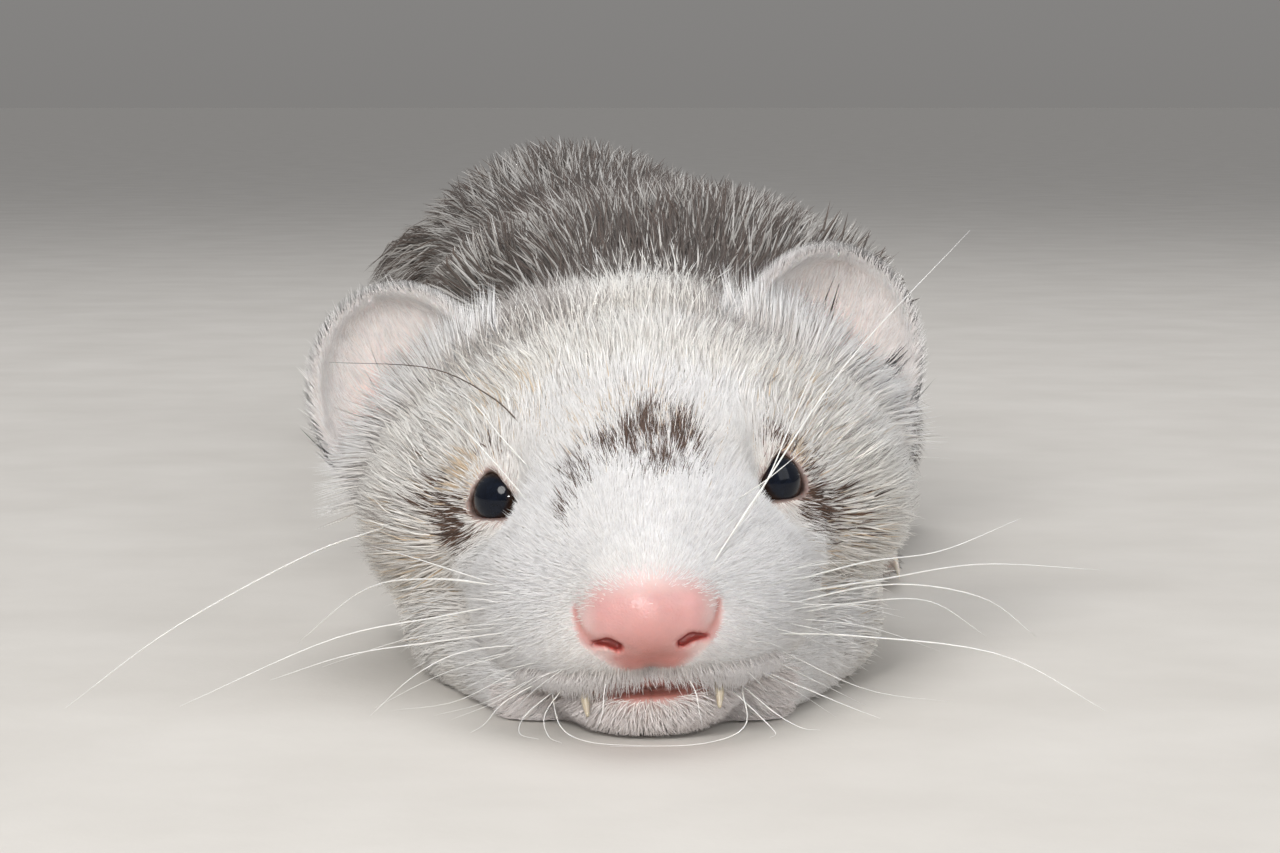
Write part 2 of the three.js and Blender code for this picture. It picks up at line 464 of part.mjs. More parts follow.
// ------------------------------------------------------------------ legs
const cutY = (y0, y1) => block([-120, y0, -40], [120, y1, 80]);
for (const [side, s] of [['r', -1], ['l', 1]]) {
  const fore = p => [(p[0] - FORE_MIDDLE) * s, p[1], p[2]], hindX = y => HIND_MIDDLE - HIND_SLANT * (y - 250);
  const hind = p => [(p[0] - hindX(p[1])) * s, p[1], p[2]];
  const foreP = q => [FORE_MIDDLE + q[0] * s, q[1], q[2]], hindP = q => [hindX(q[1]) + q[0] * s, q[1], q[2]];

  const foreAt = y => foreP([28.5 - (150 - y) / 38 * 3.5, y, 9]);
  const forearm = alongY(p => onFloor(foreForm(fore(p)), p), { ys: steps(WRIST_Y + GAP, 151, 5), at: foreAt, segments: 14, back: 3 });
  addPart('foreleg_' + side, forearm.subtract(trunkGrown), COAT_BROWN);

  const pawAt = y => foreP([22.8 + Math.max(y - 97, 0) * 0.1, y, 5]);
  let paw = alongY(p => onFloor(forePawForm(fore(p)), p), { ys: steps(90, WRIST_Y, 4), at: pawAt, segments: 12, squash: 0.7, front: 2 });
  const thighAt = y => hindP([24, y, 13]);
  const thigh = alongY(p => onFloor(thighForm(hind(p)), p), { ys: steps(262, 310, 5), at: thighAt, segments: 14, front: 2, back: 2 });
  const footAt = y => hindP([31 - Math.max(y - 258, 0) * 0.1, y, 5]);
  let foot = alongY(p => onFloor(hindFootForm(hind(p)), p), { ys: [249, 257, 270, 306], at: footAt, segments: 12, squash: 0.7, front: 2, back: 2 });

  for (const [set, at, name, length] of [[FORE_TOES, foreP, 'fore', CLAW_FORE], [HIND_TOES, hindP, 'hind', CLAW_HIND]]) {
    for (let i = 0; i < 5; i++) {
      const { a, b } = toe(set, i);
      const w = at(b), digit = aroundPoint(p => limb(p, at(a), w, set.r[0], set.r[1]), addTo(w, sub(at(a), w), 0.35), sub(w, at(a)), 6, 4);
      if (name === 'fore') paw = paw.add(digit); else foot = foot.add(digit);
      // claw: starts at the tip of the toe and curves down towards the floor
      const dir = unit([w[0] - at(a)[0], w[1] - at(a)[1], 0]), out = unit([dir[0], dir[1], 0.12]);
      const base = addTo(w, out, set.r[1] + GAP), mid = addTo(addTo(base, out, length * 0.5), [0, 0, -1], 0.45);
      const tip = addTo(addTo(base, dir, length * 0.95), [0, 0, -1], 1.9);
      const side2 = unit(cross(out, [0, 0, 1])), top = cross(side2, out);
      const ring = (c, r) => Array.from({ length: 5 }, (_, j) => addTo(addTo(c, side2, 0.8 * r * Math.cos(j * 0.4 * Math.PI)), top, r * Math.sin(j * 0.4 * Math.PI)));
      const loops = [ring(base, 1.0), ring(mid, 0.72)];
      loops.endTip = tip;
      addPart('claw_' + name + '_' + side + '_' + (i + 1), skinLoops(loops), CLAW);
    }
  }
  addPart('forepaw_' + side, paw.subtract(trunkGrown).subtract(underFloor), COAT_WHITE);
  const footCut = foot.subtract(trunkGrown).subtract(underFloor);
  addPart('hindfoot_' + side, footCut, COAT_WHITE);
  // the thigh lies over the foot
  const footGrown = alongY(p => onFloor(hindFootForm(hind(p)), p), { ys: [249, 257, 270, 306], at: footAt, segments: 12, squash: 0.7, front: 2, back: 2, grow: GAP });
  addPart('thigh_' + side, thigh.subtract(trunkGrown).subtract(footGrown).subtract(underFloor), COAT_ROAN);
}

// The origin is under the middle of the whole body, on the floor.
model.updateMatrixWorld(true);
const box = new THREE.Box3().setFromObject(model);
model.position.set(-(box.min.x + box.max.x) / 2, -(box.min.y + box.max.y) / 2, -box.min.z);
model.updateMatrixWorld(true);

export default model;
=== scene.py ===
"""A ferret lying flat, life size: one skin, eyes, teeth, claws, whiskers and a coat of mesh tufts round the solids.

Shapes are worked out in millimetres in the animal's drawing frame (+X image right, +Y towards the tail, +Z up, eyes at
y 0, floor at z 0) and put into the row frame in metres by place()."""

import bpy
import numpy as np
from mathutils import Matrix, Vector
from mathutils.kdtree import KDTree

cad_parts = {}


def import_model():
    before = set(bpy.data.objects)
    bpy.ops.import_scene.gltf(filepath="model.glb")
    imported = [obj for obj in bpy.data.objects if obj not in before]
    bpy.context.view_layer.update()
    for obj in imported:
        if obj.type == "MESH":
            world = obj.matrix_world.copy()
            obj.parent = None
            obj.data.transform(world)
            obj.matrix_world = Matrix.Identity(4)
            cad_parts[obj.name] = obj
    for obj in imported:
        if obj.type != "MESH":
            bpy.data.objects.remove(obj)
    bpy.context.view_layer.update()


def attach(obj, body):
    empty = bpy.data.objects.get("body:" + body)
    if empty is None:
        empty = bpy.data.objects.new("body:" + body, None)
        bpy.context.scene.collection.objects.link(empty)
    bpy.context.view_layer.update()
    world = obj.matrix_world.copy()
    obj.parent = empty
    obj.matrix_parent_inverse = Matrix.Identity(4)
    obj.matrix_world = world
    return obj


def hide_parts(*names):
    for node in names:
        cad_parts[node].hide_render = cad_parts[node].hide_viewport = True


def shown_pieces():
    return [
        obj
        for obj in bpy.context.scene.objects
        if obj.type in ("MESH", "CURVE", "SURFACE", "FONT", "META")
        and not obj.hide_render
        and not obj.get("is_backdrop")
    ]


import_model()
rng = np.random.default_rng(20)
OFFSET = np.array([6.344768524169922, -223.78366374969482, 0.0])  # drawing frame to row frame, mm


def place(p):
    return ((np.asarray(p, float) + OFFSET) * 0.001).astype(np.float32)


# ------------------------------------------------------------------ basic fields, all on (n, 3) arrays
def vec(*a):
    return np.array(a, np.float32)


def dot(a, b):
    return a[:, 0] * b[0] + a[:, 1] * b[1] + a[:, 2] * b[2]


def length(a):
    return np.sqrt((a * a).sum(-1))


def unit(a):
    return a / (length(a)[:, None] + 1e-9)


def egg(p, c, r):
    """distance to an ellipsoid"""
    q = (p - vec(*c)) / vec(*r)
    k0 = length(q) + 1e-9
    return k0 * (k0 - 1) / (length(q / vec(*r)) + 1e-9)


def ball(p, c, r):
    return length(p - vec(*c)) - r


def limb(p, a, b, ra, rb):
    """distance to a tapering round bar"""
    a, b = vec(*a), vec(*b)
    ab = b - a
    t = np.clip(dot(p - a, ab) / float((ab * ab).sum()), 0, 1)
    return length(p - a - t[:, None] * ab) - (ra + (rb - ra) * t)


def melt(a, b, k):
    h = np.clip(0.5 + 0.5 * (b - a) / k, 0, 1)
    return b + (a - b) * h - k * h * (1 - h)


def meet(a, b, k):
    return -melt(-a, -b, k)


def ease(x, a, b):
    t = np.clip((x - a) / (b - a), 0, 1)
    return t * t * (3 - 2 * t)


def bell(p, c, r):
    """1 at c, falling to 0 over the radii r"""
    q = (p - vec(*c)) / vec(*r)
    return np.exp(-(q * q).sum(-1))


def only(p, mask, f):
    """f where mask holds, far away elsewhere"""
    d = np.full(len(p), 60.0, np.float32)
    if mask.any():
        d[mask] = f(p[mask])
    return d


def waves(p, size, seed, n=5):
    """smooth noise from -1 to 1 with lumps of about that size"""
    r = np.random.default_rng(seed)
    out = np.zeros(len(p))
    for _ in range(n):
        k = r.normal(size=3)
        k *= 2 * np.pi / (np.linalg.norm(k) * size * r.uniform(1.4, 3.0))
        out += np.sin(p @ k + r.uniform(0, 6.283))
    return out / (0.62 * n)


# ------------------------------------------------------------------ frames
ROLL, YAW, HEAD_X = np.radians(3.6), np.radians(1.0), 1.1


def turn(axis, angle):
    c, s = np.cos(angle), np.sin(angle)
    if axis == 1:
        return np.array([[c, 0, s], [0, 1, 0], [-s, 0, c]])
    return np.array([[c, -s, 0], [s, c, 0], [0, 0, 1]])


HEAD_R = (turn(2, YAW) @ turn(1, -ROLL)).astype(np.float32)  # head frame to drawing frame


def to_head(p):
    return ((p - vec(HEAD_X, 0, 0)) @ HEAD_R).astype(np.float32)


def from_head(p):
    return np.asarray(p, np.float32) @ HEAD_R.T + vec(HEAD_X, 0, 0)


def mirrored(h):
    return np.stack([np.abs(h[:, 0]), h[:, 1], h[:, 2]], -1)


# ------------------------------------------------------------------ trunk and tail
TRUNK = np.array(
    [  # y, centre x, half width, top, under side, squareness
        [30, -1.0, 27.0, 38.5, -1.0, 2.2],
        [60, 0.0, 27.0, 40.5, 3.0, 2.2],
        [92, 2.5, 30.5, 44.0, 4.0, 2.4],
        [128, 4.0, 34.0, 49.5, -2.0, 2.8],
        [165, 3.5, 35.0, 51.0, -3.0, 2.8],
        [205, 0.0, 35.0, 50.0, -3.0, 2.4],
        [245, -6.5, 33.5, 52.5, -1.5, 2.05],
        [282, -13.0, 31.5, 55.0, -2.0, 2.0],
        [316, -18.5, 27.0, 48.0, -3.0, 2.0],
        [345, -21.5, 16.5, 32.0, -1.0, 2.0],
    ],
    np.float32,
)
TAIL_Y, TAIL_LONG = 322.0, 156.0


def between(y, table):
    ys = table[:, 0]
    i = np.clip(np.searchsorted(ys, y) - 1, 0, len(ys) - 2)
    t = np.clip((y - ys[i]) / (ys[i + 1] - ys[i]), 0, 1)
    h, t2, t3 = ys[i + 1] - ys[i], t * t, t * t * t
    out = []
    for c in range(1, table.shape[1]):
        v = table[:, c]
        m = np.gradient(v, ys).astype(np.float32)
        out.append((2 * t3 - 3 * t2 + 1) * v[i] + (t3 - 2 * t2 + t) * h * m[i] + (-2 * t3 + 3 * t2) * v[i + 1] + (t3 - t2) * h * m[i + 1])
    return out


def trunk(p):
    y = p[:, 1]
    xc, a, top, bot, n = between(y, TRUNK)
    b, zc = (top - bot) / 2, (top + bot) / 2
    a = a * (1 + 0.05 * np.clip((zc - p[:, 2]) / b, -1, 1))
    u, v = np.abs(p[:, 0] - xc) / a, np.abs(p[:, 2] - zc) / b
    d = ((u**n + v**n + 1e-9) ** (1 / n) - 1) * np.minimum(a, b)
    return meet(meet(d, TRUNK[0, 0] - y, 10), y - TRUNK[-1, 0], 12)


def tail_line(y):
    """centre x, slope, radius and centre z at y"""
    u = np.clip((y - TAIL_Y) / TAIL_LONG, 0, 1)
    r = (13.2 - 3.4 * u) * np.maximum(1 - u**5, 0) ** 0.55
    return -19.5 - 20 * u - 10 * u * u, -(20 + 20 * u) / TAIL_LONG, r, np.maximum(r - 0.8, 0) + 5 * np.clip(1 - 4 * u, 0, 1) ** 2, u


def tail(p, thin=1.0):
    xc, slope, r, zc, u = tail_line(p[:, 1])
    over = np.abs(p[:, 1] - (TAIL_Y + u * TAIL_LONG))
    return np.sqrt(((p[:, 0] - xc) / np.sqrt(1 + slope * slope)) ** 2 + (p[:, 2] - zc) ** 2 + over**2) - r * thin


# ------------------------------------------------------------------ legs, for the left side, x from the line between them
def fore_side(p, s):
    return np.stack([(p[:, 0] - 2.5) * s, p[:, 1], p[:, 2]], -1)


def hind_side(p, s):
    return np.stack([(p[:, 0] + 7.0 + 0.16 * (p[:, 1] - 250)) * s, p[:, 1], p[:, 2]], -1)


FORE_TOES = dict(root=(22.5, 92, 4.3), tip=(22.0, 84, 3.2), spread=6.2, r=(3.1, 2.7))
HIND_TOES = dict(root=(31, 251, 4.3), tip=(31.4, 241, 3.2), spread=6.2, r=(3.2, 2.8))


def toe(t, i):
    f = (i - 2) / 2
    back = 3.2 * f * f + (1.6 if f < 0 else 0.6) * abs(f)
    return (t["root"][0] + f * t["spread"] * 0.72, t["root"][1] + back * 0.4, t["root"][2]), (t["tip"][0] + f * t["spread"], t["tip"][1] + back, t["tip"][2])


def toes(q, t, k=1.0):
    d = None
    for i in range(5):
        e = limb(q, *toe(t, i), *t["r"])
        d = e if d is None else melt(d, e, k)
    return d


def foreleg(q):
    return melt(limb(q, (22, 130, 27), (28.5, 150, 13.5), 13, 9), limb(q, (28.5, 150, 12), (25, 112, 8.2), 8.6, 7.0), 4)


def forepaw(q):
    d = melt(limb(q, (25, 122, 8.4), (22.6, 97, 5.4), 7, 6.2), egg(q, (22.8, 95, 4.6), (8.2, 9, 5.2)), 2)
    return melt(d, toes(q, FORE_TOES), 1.2)


def thigh(q):
    d = melt(egg(q, (20.5, 290, 20), (16.5, 31, 20.5)), limb(q, (23, 288, 18), (26.5, 262, 13.5), 13, 9.5), 6)
    return melt(d, limb(q, (27, 268, 11), (24, 310, 9.5), 8.5, 6.5), 4)


def hindfoot(q):
    d = melt(limb(q, (25.5, 312, 6.8), (30.5, 262, 5.2), 7.0, 6.4), egg(q, (31, 255, 4.6), (8.2, 10, 5.2)), 2)
    return melt(d, toes(q, HIND_TOES), 1.2)


# ------------------------------------------------------------------ head, in its own frame
EYE_C, EYE_R = np.array([12.9, 1.9, 21.5]), 3.9
GAZE = np.array([0.56, -0.81, 0.16]) / np.linalg.norm([0.56, -0.81, 0.16])
EYE_UP = np.array([0, 0, 1.0]) - GAZE * GAZE[2]
EYE_UP /= np.linalg.norm(EYE_UP)
EYE_OUT = np.cross(EYE_UP, GAZE)  # away from the nose
ORBIT = EYE_C + GAZE * 8.0


def head_core(h, m, lid=0.7):
    d = egg(h, (0, 27, 20.5), (26, 33, 19.8))
    d = melt(d, egg(h, (0, 4, 16.5), (15.0, 24, 12.5)), 8)
    d = melt(d, egg(m, (17, 25, 17.5), (13, 19, 12)), 7)
    d = melt(d, egg(m, (19.3, 42, 18), (11.2, 17, 13.5)), 8)
    d = melt(d, limb(h, (0, -21, 14.2), (0, 4, 20.5), 6.6, 10.5), 5)
    d = melt(d, egg(m, (5.4, -17.0, 10.4), (6.0, 8.0, 5.4)), 5)
    d = melt(d, egg(m, (8.8, -4, 11.5), (8.4, 14, 8.0)), 8)
    d = meet(d, -ball(m, ORBIT, 5.0), 3.0)
    return melt(d, ball(m, EYE_C, EYE_R + lid), 2.0)


def chin(h, m):
    p = from_head(h)
    w = np.stack([np.abs(p[:, 0] - 0.2), p[:, 1], p[:, 2]], -1)  # lies flat on the floor
    d = melt(egg(h, (0, -16.4, 3.5), (7.5, 6.8, 3.7)), limb(w, (10.0, -8, 3.2), (17.2, 16, 6.8), 4.7, 8.4), 3)
    return melt(d, egg(h, (0, 14, 3.5), (17, 26, 7)), 6)


def nose(h, m):
    return melt(egg(h, (0, -24.3, 13.0), (5.0, 5.0, 4.4)), egg(m, (3.8, -23.4, 12.6), (2.9, 4.2, 3.5)), 2)


EARS = {
    -1: dict(c=(-25.9, 29.5, 28.9), n=(-0.22, -0.96, 0.12), up=(-0.30, 0.05, 0.95), r=(10.8, 12.3, 6.0)),
    +1: dict(c=(20.8, 29.5, 33.0), n=(0.40, -0.90, 0.12), up=(0.14, 0.05, 0.98), r=(11.4, 12.4, 6.0)),
}
for e in EARS.values():
    n = np.array(e["n"]) / np.linalg.norm(e["n"])
    u = np.array(e["up"]) - n * (np.array(e["up"]) @ n)
    u /= np.linalg.norm(u)
    e["R"] = np.stack([np.cross(u, n), u, n], 0).astype(np.float32)  # rows: across, up, facing


def ear_place(p, side):
    return (p - vec(*EARS[side]["c"])) @ EARS[side]["R"].T


def ear(p, side, half=1.2, middle=1.2):
    """a cup: a shell of an ellipsoid, open to the front"""
    q = ear_place(p, side)
    d = np.abs(egg(q, (0, 0, 0), EARS[side]["r"]) + middle) - half
    return meet(d, q[:, 2] - 0.6, half)


def eye_plane(m):
    """across (away from the nose), up and outwards along the gaze"""
    q = m - vec(*EYE_C)
    return dot(q, EYE_OUT), dot(q, EYE_UP), dot(q, GAZE)


def eye_slit(m, grow=0.0):
    """below 0 inside the opening of the lids: rounded, with a flat lower lid and a low corner towards the nose"""
    a, b, c = eye_plane(m)
    g = grow + 0.22 * np.maximum(c - 3.0, 0)
    d = (np.sqrt((a / np.where(a < 0, 3.75, 3.4)) ** 2 + (b / 2.75) ** 2) - 1) * 2.85 - g
    d = meet(d, -b - 2.0 - g, 0.8)
    d = meet(d, -0.70 * a + 0.71 * b - 2.0 - g, 0.8)
    return meet(d, 0.81 * a + 0.585 * b - 2.2 - g, 0.8), c


def lip_z(y):
    return 4.3 + 0.13 * (y + 22)


# ------------------------------------------------------------------ the outline of the coat
def coat(p):
    y = p[:, 1]

    def head(q):
        h = to_head(q)
        m = mirrored(h)
        return melt(melt(head_core(h, m), chin(h, m), 2.5), nose(h, m), 1.4)

    d = only(p, y < 90, head)
    d = melt(d, only(p, y > 12, trunk), 8)
    d = melt(d, only(p, y > 296, tail), 8)
    for s in (-1, 1):
        d = melt(d, only(p, (y > 8) & (y < 60) & (p[:, 2] > 8), lambda q: ear(q, s)), 2.0)
        fore, hind = (y > 60) & (y < 185), (y > 215) & (y < 345)
        d = melt(d, only(p, fore, lambda q: foreleg(fore_side(q, s))), 3.0)
        d = melt(d, only(p, fore, lambda q: forepaw(fore_side(q, s))), 1.5)
        d = melt(d, only(p, hind, lambda q: thigh(hind_side(q, s))), 4.0)
        d = melt(d, only(p, hind, lambda q: hindfoot(hind_side(q, s))), 1.5)
    return meet(d, -p[:, 2], 0.4)


def under_nose(h):
    """1 on the strip of bare skin between the nose and the fringe of the lip"""
    wide = np.abs(h[:, 0]) - 1.15 * (h[:, 2] - 7.0)
    return (1 - ease(wide, 1.4, 3.6)) * ease(h[:, 2], 6.6, 7.3) * (1 - ease(h[:, 2], 9.0, 10.0)) * (h[:, 1] < -21)


def lip_band(h):
    """1 on the reddish band of the lips behind the fringe"""
    return ease(h[:, 2], 3.5, 4.3) * (1 - ease(h[:, 2], 6.0, 6.7)) * (1 - ease(np.abs(h[:, 0]), 5.0, 7.6)) * (h[:, 1] < -13)


# ------------------------------------------------------------------ the skin, under the coat
def head_depth(h, m):
    """how deep the skin lies under the coat's outline"""
    y, z = h[:, 1], h[:, 2]
    d = 0.38 + 0.45 * ease(y, -25, -15) + 0.75 * ease(y, -16, 2) + 1.35 * ease(y, 0, 20) + 2.6 * ease(y, 24, 50)
    r = length(m - vec(*EYE_C))
    d = d * (1 - 0.75 * np.exp(-((np.maximum(r - 3.5, 0) / 4.5) ** 2)))
    return d * (0.4 + 0.6 * ease(z, 0.5, 9)) + 0.35 * ease(-z, -5.0, -3.2) * ease(-y, 6, 12)


def nostril(m):
    """the comma-shaped hole and the slit that runs up the side of the nose"""
    q = np.stack([m[:, 0], np.zeros(len(m), np.float32), m[:, 2]], -1)
    d = np.minimum(limb(q, (3.0, 0, 9.95), (3.9, 0, 10.5), 0.42, 0.46), limb(q, (3.9, 0, 10.5), (5.3, 0, 10.35), 0.46, 0.16))
    d = meet(d, m[:, 1] + 25.0, 0.3)
    slit = np.minimum(limb(m, (5.4, -27.0, 10.3), (6.5, -25.7, 11.6), 0.26, 0.20), limb(m, (6.5, -25.7, 11.6), (6.9, -24.6, 13.6), 0.20, 0.06))
    return d, slit


def mouth_gap(h):
    return egg(h, (0, -22.6, 4.75), (5.2, 2.0, 0.42))


def head_skin(p):
    h = to_head(p)
    m = mirrored(h)
    deep = head_depth(h, m)
    d = melt(head_core(h, m, 0.5) + deep, chin(h, m) + deep * 0.8, 2.0)
    d = melt(d, nose(h, m) + 0.1, 1.0)
    near = h[:, 1] < -8
    if near.any():
        hn, mn, dn = h[near], m[near], d[near]
        hole, slit = nostril(mn)
        dn = meet(dn, -hole, 0.5)
        dn = meet(dn, -slit, 0.4)
        dn = meet(dn, -limb(hn, (0, -28.0, 8.2), (0, -24.6, 5.6), 0.25, 0.2), 0.5)  # groove under the nose
        dn = meet(dn, -mouth_gap(hn), 0.9)
        lip = np.exp(-(((hn[:, 2] - lip_z(hn[:, 1])) / 0.5) ** 2)) * ease(hn[:, 1], -20, -17) * (1 - ease(hn[:, 1], -12, -8))
        d[near] = dn + 0.7 * lip
    slit, c = eye_slit(m)
    return meet(d, -meet(slit, 1.0 - c, 0.4), 0.35)


def ear_skin(p, side):
    """the cup of the ear with its folds, thinner than its coat"""
    q = ear_place(p, side)
    inner = -side  # towards the middle of the head, across the ear
    d = np.abs(egg(q, (0, 0, 0), EARS[side]["r"]) + 1.2) - (0.55 + 0.35 * ease(-q[:, 1], 2, 9))
    d = meet(d, q[:, 2] - 0.2, 0.7)
    d = melt(d, limb(q, (-5.5 * inner, -5.5, -3.6), (-2.5 * inner, 3.5, -5.0), 1.1, 0.6), 1.4)  # long fold
    d = melt(d, limb(q, (4.5 * inner, -6.0, -2.6), (3.4 * inner, 0.5, -4.6), 1.0, 0.5), 1.4)  # inner fold
    return melt(d, egg(q, (-3.6 * inner, -9.0, -1.8), (2.6, 2.4, 2.0)), 1.2)  # lobe in front of the canal


def ear_canal(p, side):
    q = ear_place(p, side)
    inner = -side
    return limb(q, (0.5 * inner, -5.2, -2.0), (3.0 * inner, -8.5, -8.5), 2.7, 1.4)


def skin(p):
    y, z = p[:, 1], p[:, 2]
    low = 0.22 + 0.78 * ease(z, 1, 17)
    d = only(p, y < 90, head_skin)
    d = melt(d, only(p, y > 12, lambda q: trunk(q) + (4.8 + 3.7 * ease(q[:, 1], 45, 110)) * (0.22 + 0.78 * ease(q[:, 2], 1, 17))), 8)
    d = melt(d, only(p, y > 296, lambda q: tail(q, 0.43)), 7)
    for s in (-1, 1):
        near = (y > 8) & (y < 60) & (z > 8)
        d = melt(d, only(p, near, lambda q: ear_skin(q, s)), 2.2)
        d = meet(d, -only(p, near, lambda q: ear_canal(q, s)), 1.2)
        fore, hind = (y > 60) & (y < 185), (y > 215) & (y < 345)
        d = melt(d, only(p, fore, lambda q: foreleg(fore_side(q, s)) + 3.2), 4.0)
        d = melt(d, only(p, fore, lambda q: forepaw(fore_side(q, s)) + 0.9), 2.0)
        d = melt(d, only(p, hind, lambda q: thigh(hind_side(q, s)) + 5.0), 5.0)
        d = melt(d, only(p, hind, lambda q: hindfoot(hind_side(q, s)) + 0.9), 2.0)
    return meet(d, 0.5 - z, 0.6)


def slope(f, p, e=0.12):
    g = np.stack([f(p + vec(*v) * e) - f(p - vec(*v) * e) for v in ((1, 0, 0), (0, 1, 0), (0, 0, 1))], -1) / (2 * e)
    return g


# ------------------------------------------------------------------ mesh from a field: surface nets on uneven lines
def lines(*spans):
    out = []
    for a, b, step in spans:
        n = max(1, int(round((b - a) / step)))
        out.append(a + (b - a) * np.arange(n) / n)
    return np.concatenate(out + [[spans[-1][1]]])


def field_on(f, axes, c=4):
    """values on the lines' crossings, worked out fully only near the surface"""
    coarse = [np.unique(np.concatenate([np.arange(0, len(a), c), [len(a) - 1]])) for a in axes]
    P = np.stack(np.meshgrid(*[a[i] for a, i in zip(axes, coarse)], indexing="ij"), -1).astype(np.float32)
    C = np.concatenate([f(b) for b in np.array_split(P.reshape(-1, 3), 1 + P.size // 600000)]).reshape(P.shape[:-1])
    size = np.sqrt(sum(np.diff(a[i]).reshape([-1 if k == j else 1 for k in range(3)]) ** 2 for j, (a, i) in enumerate(zip(axes, coarse))))
    m = np.abs(C)
    n = [len(i) - 1 for i in coarse]
    near = np.minimum.reduce([m[i : n[0] + i, j : n[1] + j, k : n[2] + k] for i in (0, 1) for j in (0, 1) for k in (0, 1)]) < size * 0.8
    counts = [np.diff(i) for i in coarse]
    V, M = C[:-1, :-1, :-1], near
    for ax in range(3):
        V, M = np.repeat(V, counts[ax], ax), np.repeat(M, counts[ax], ax)
    V = np.pad(V, ((0, 1),) * 3, mode="edge").astype(np.float32)
    F = np.zeros(V.shape, bool)
    N = M.shape
    for i in (0, 1):
        for j in (0, 1):
            for k in (0, 1):
                F[i : N[0] + i, j : N[1] + j, k : N[2] + k] |= M
    idx = np.argwhere(F)
    pts = np.stack([axes[a][idx[:, a]] for a in range(3)], -1).astype(np.float32)
    V[F] = np.concatenate([f(b) for b in np.array_split(pts, 1 + len(pts) // 200000)])
    return V


def nets(V, axes):
    S = V < 0
    nx, ny, nz = V.shape
    cnt = sum(S[i : nx - 1 + i, j : ny - 1 + j, k : nz - 1 + k].astype(np.int8) for i in (0, 1) for j in (0, 1) for k in (0, 1))
    act = (cnt > 0) & (cnt < 8)
    cells = np.argwhere(act)
    ids = -np.ones(act.shape, np.int64)
    ids[act] = np.arange(len(cells))
    corner = np.array([(i, j, k) for i in (0, 1) for j in (0, 1) for k in (0, 1)])
    vals = np.stack([V[cells[:, 0] + i, cells[:, 1] + j, cells[:, 2] + k] for i, j, k in corner], -1)
    acc, num = np.zeros((len(cells), 3)), np.zeros(len(cells))
    for a in range(8):
        for b in range(a + 1, 8):
            if np.abs(corner[a] - corner[b]).sum() != 1:
                continue
            va, vb = vals[:, a], vals[:, b]
            x = (va < 0) != (vb < 0)
            t = np.where(x, va / np.where(x, va - vb, 1), 0)
            acc += np.where(x[:, None], corner[a] + t[:, None] * (corner[b] - corner[a]), 0)
            num += x
    local = acc / num[:, None]
    verts = np.stack([axes[k][cells[:, k]] + local[:, k] * (axes[k][cells[:, k] + 1] - axes[k][cells[:, k]]) for k in range(3)], -1)
    quads = []
    for ax in range(3):
        a, b = [slice(None)] * 3, [slice(None)] * 3
        a[ax], b[ax] = slice(0, -1), slice(1, None)
        e = np.argwhere(S[tuple(a)] != S[tuple(b)])
        o1, o2 = [(1, 2), (2, 0), (0, 1)][ax]
        e = e[(e[:, o1] > 0) & (e[:, o2] > 0) & (e[:, o1] < V.shape[o1] - 1) & (e[:, o2] < V.shape[o2] - 1)]
        inside = S[tuple(e.T)]
        u, w = np.zeros(3, int), np.zeros(3, int)
        u[o1], w[o2] = 1, 1
        q = np.stack([ids[tuple((e - u - w).T)], ids[tuple((e - w).T)], ids[tuple(e.T)], ids[tuple((e - u).T)]], -1)
        q[~inside] = q[~inside][:, ::-1]
        quads.append(q)
    return verts, np.concatenate(quads)


def settle(f, p, steps=3, most=0.5):
    p = p.astype(np.float32)
    for _ in range(steps):
        g = slope(f, p)
        d = f(p)
        s = np.clip(d / np.maximum((g * g).sum(-1), 0.09), -most, most)
        p = p - s[:, None] * g
    return p


# ------------------------------------------------------------------ Blender meshes and materials
def mesh_object(name, verts, quads=None, tris=None, colours=None, uvs=None, materials=(), faces_material=None, extra=None, shading=None):
    """verts in drawing millimetres, colours per vertex, uvs per loop (quads' loops first)"""
    quads = np.zeros((0, 4), int) if quads is None else np.asarray(quads)
    tris = np.zeros((0, 3), int) if tris is None else np.asarray(tris)
    loops = np.concatenate([quads.ravel(), tris.ravel()]).astype(np.int32)
    total = np.concatenate([np.full(len(quads), 4), np.full(len(tris), 3)])
    start = np.concatenate([[0], np.cumsum(total)[:-1]]).astype(np.int32)
    me = bpy.data.meshes.new(name)
    me.vertices.add(len(verts))
    me.vertices.foreach_set("co", place(verts).ravel())
    me.loops.add(len(loops))
    me.loops.foreach_set("vertex_index", loops)
    me.polygons.add(len(total))
    me.polygons.foreach_set("loop_start", start)
    me.polygons.foreach_set("use_smooth", np.ones(len(total), bool))
    for m in materials:
        me.materials.append(m)
    if faces_material is not None:
        me.polygons.foreach_set("material_index", faces_material.astype(np.int32))
    me.update(calc_edges=True)
    for key, value in {**({"Col": colours} if colours is not None else {}), **(extra or {})}.items():
        if value.ndim == 2:
            a = me.attributes.new(key, "FLOAT_COLOR", "POINT")
            rgba = np.ones((len(verts), 4), np.float32)
            rgba[:, :3] = value
            a.data.foreach_set("color", rgba.ravel())
        else:
            a = me.attributes.new(key, "FLOAT", "POINT")
            a.data.foreach_set("value", value.astype(np.float32))
    if shading is not None:
        me.attributes.new("custom_normal", "FLOAT_VECTOR", "POINT").data.foreach_set("vector", shading.astype(np.float32).ravel())
    if uvs is not None:
        uv = me.uv_layers.new(name="OFBake")
        uv.data.foreach_set("uv", uvs.astype(np.float32).ravel())
    ob = bpy.data.objects.new(name, me)
    bpy.context.scene.collection.objects.link(ob)
    return ob


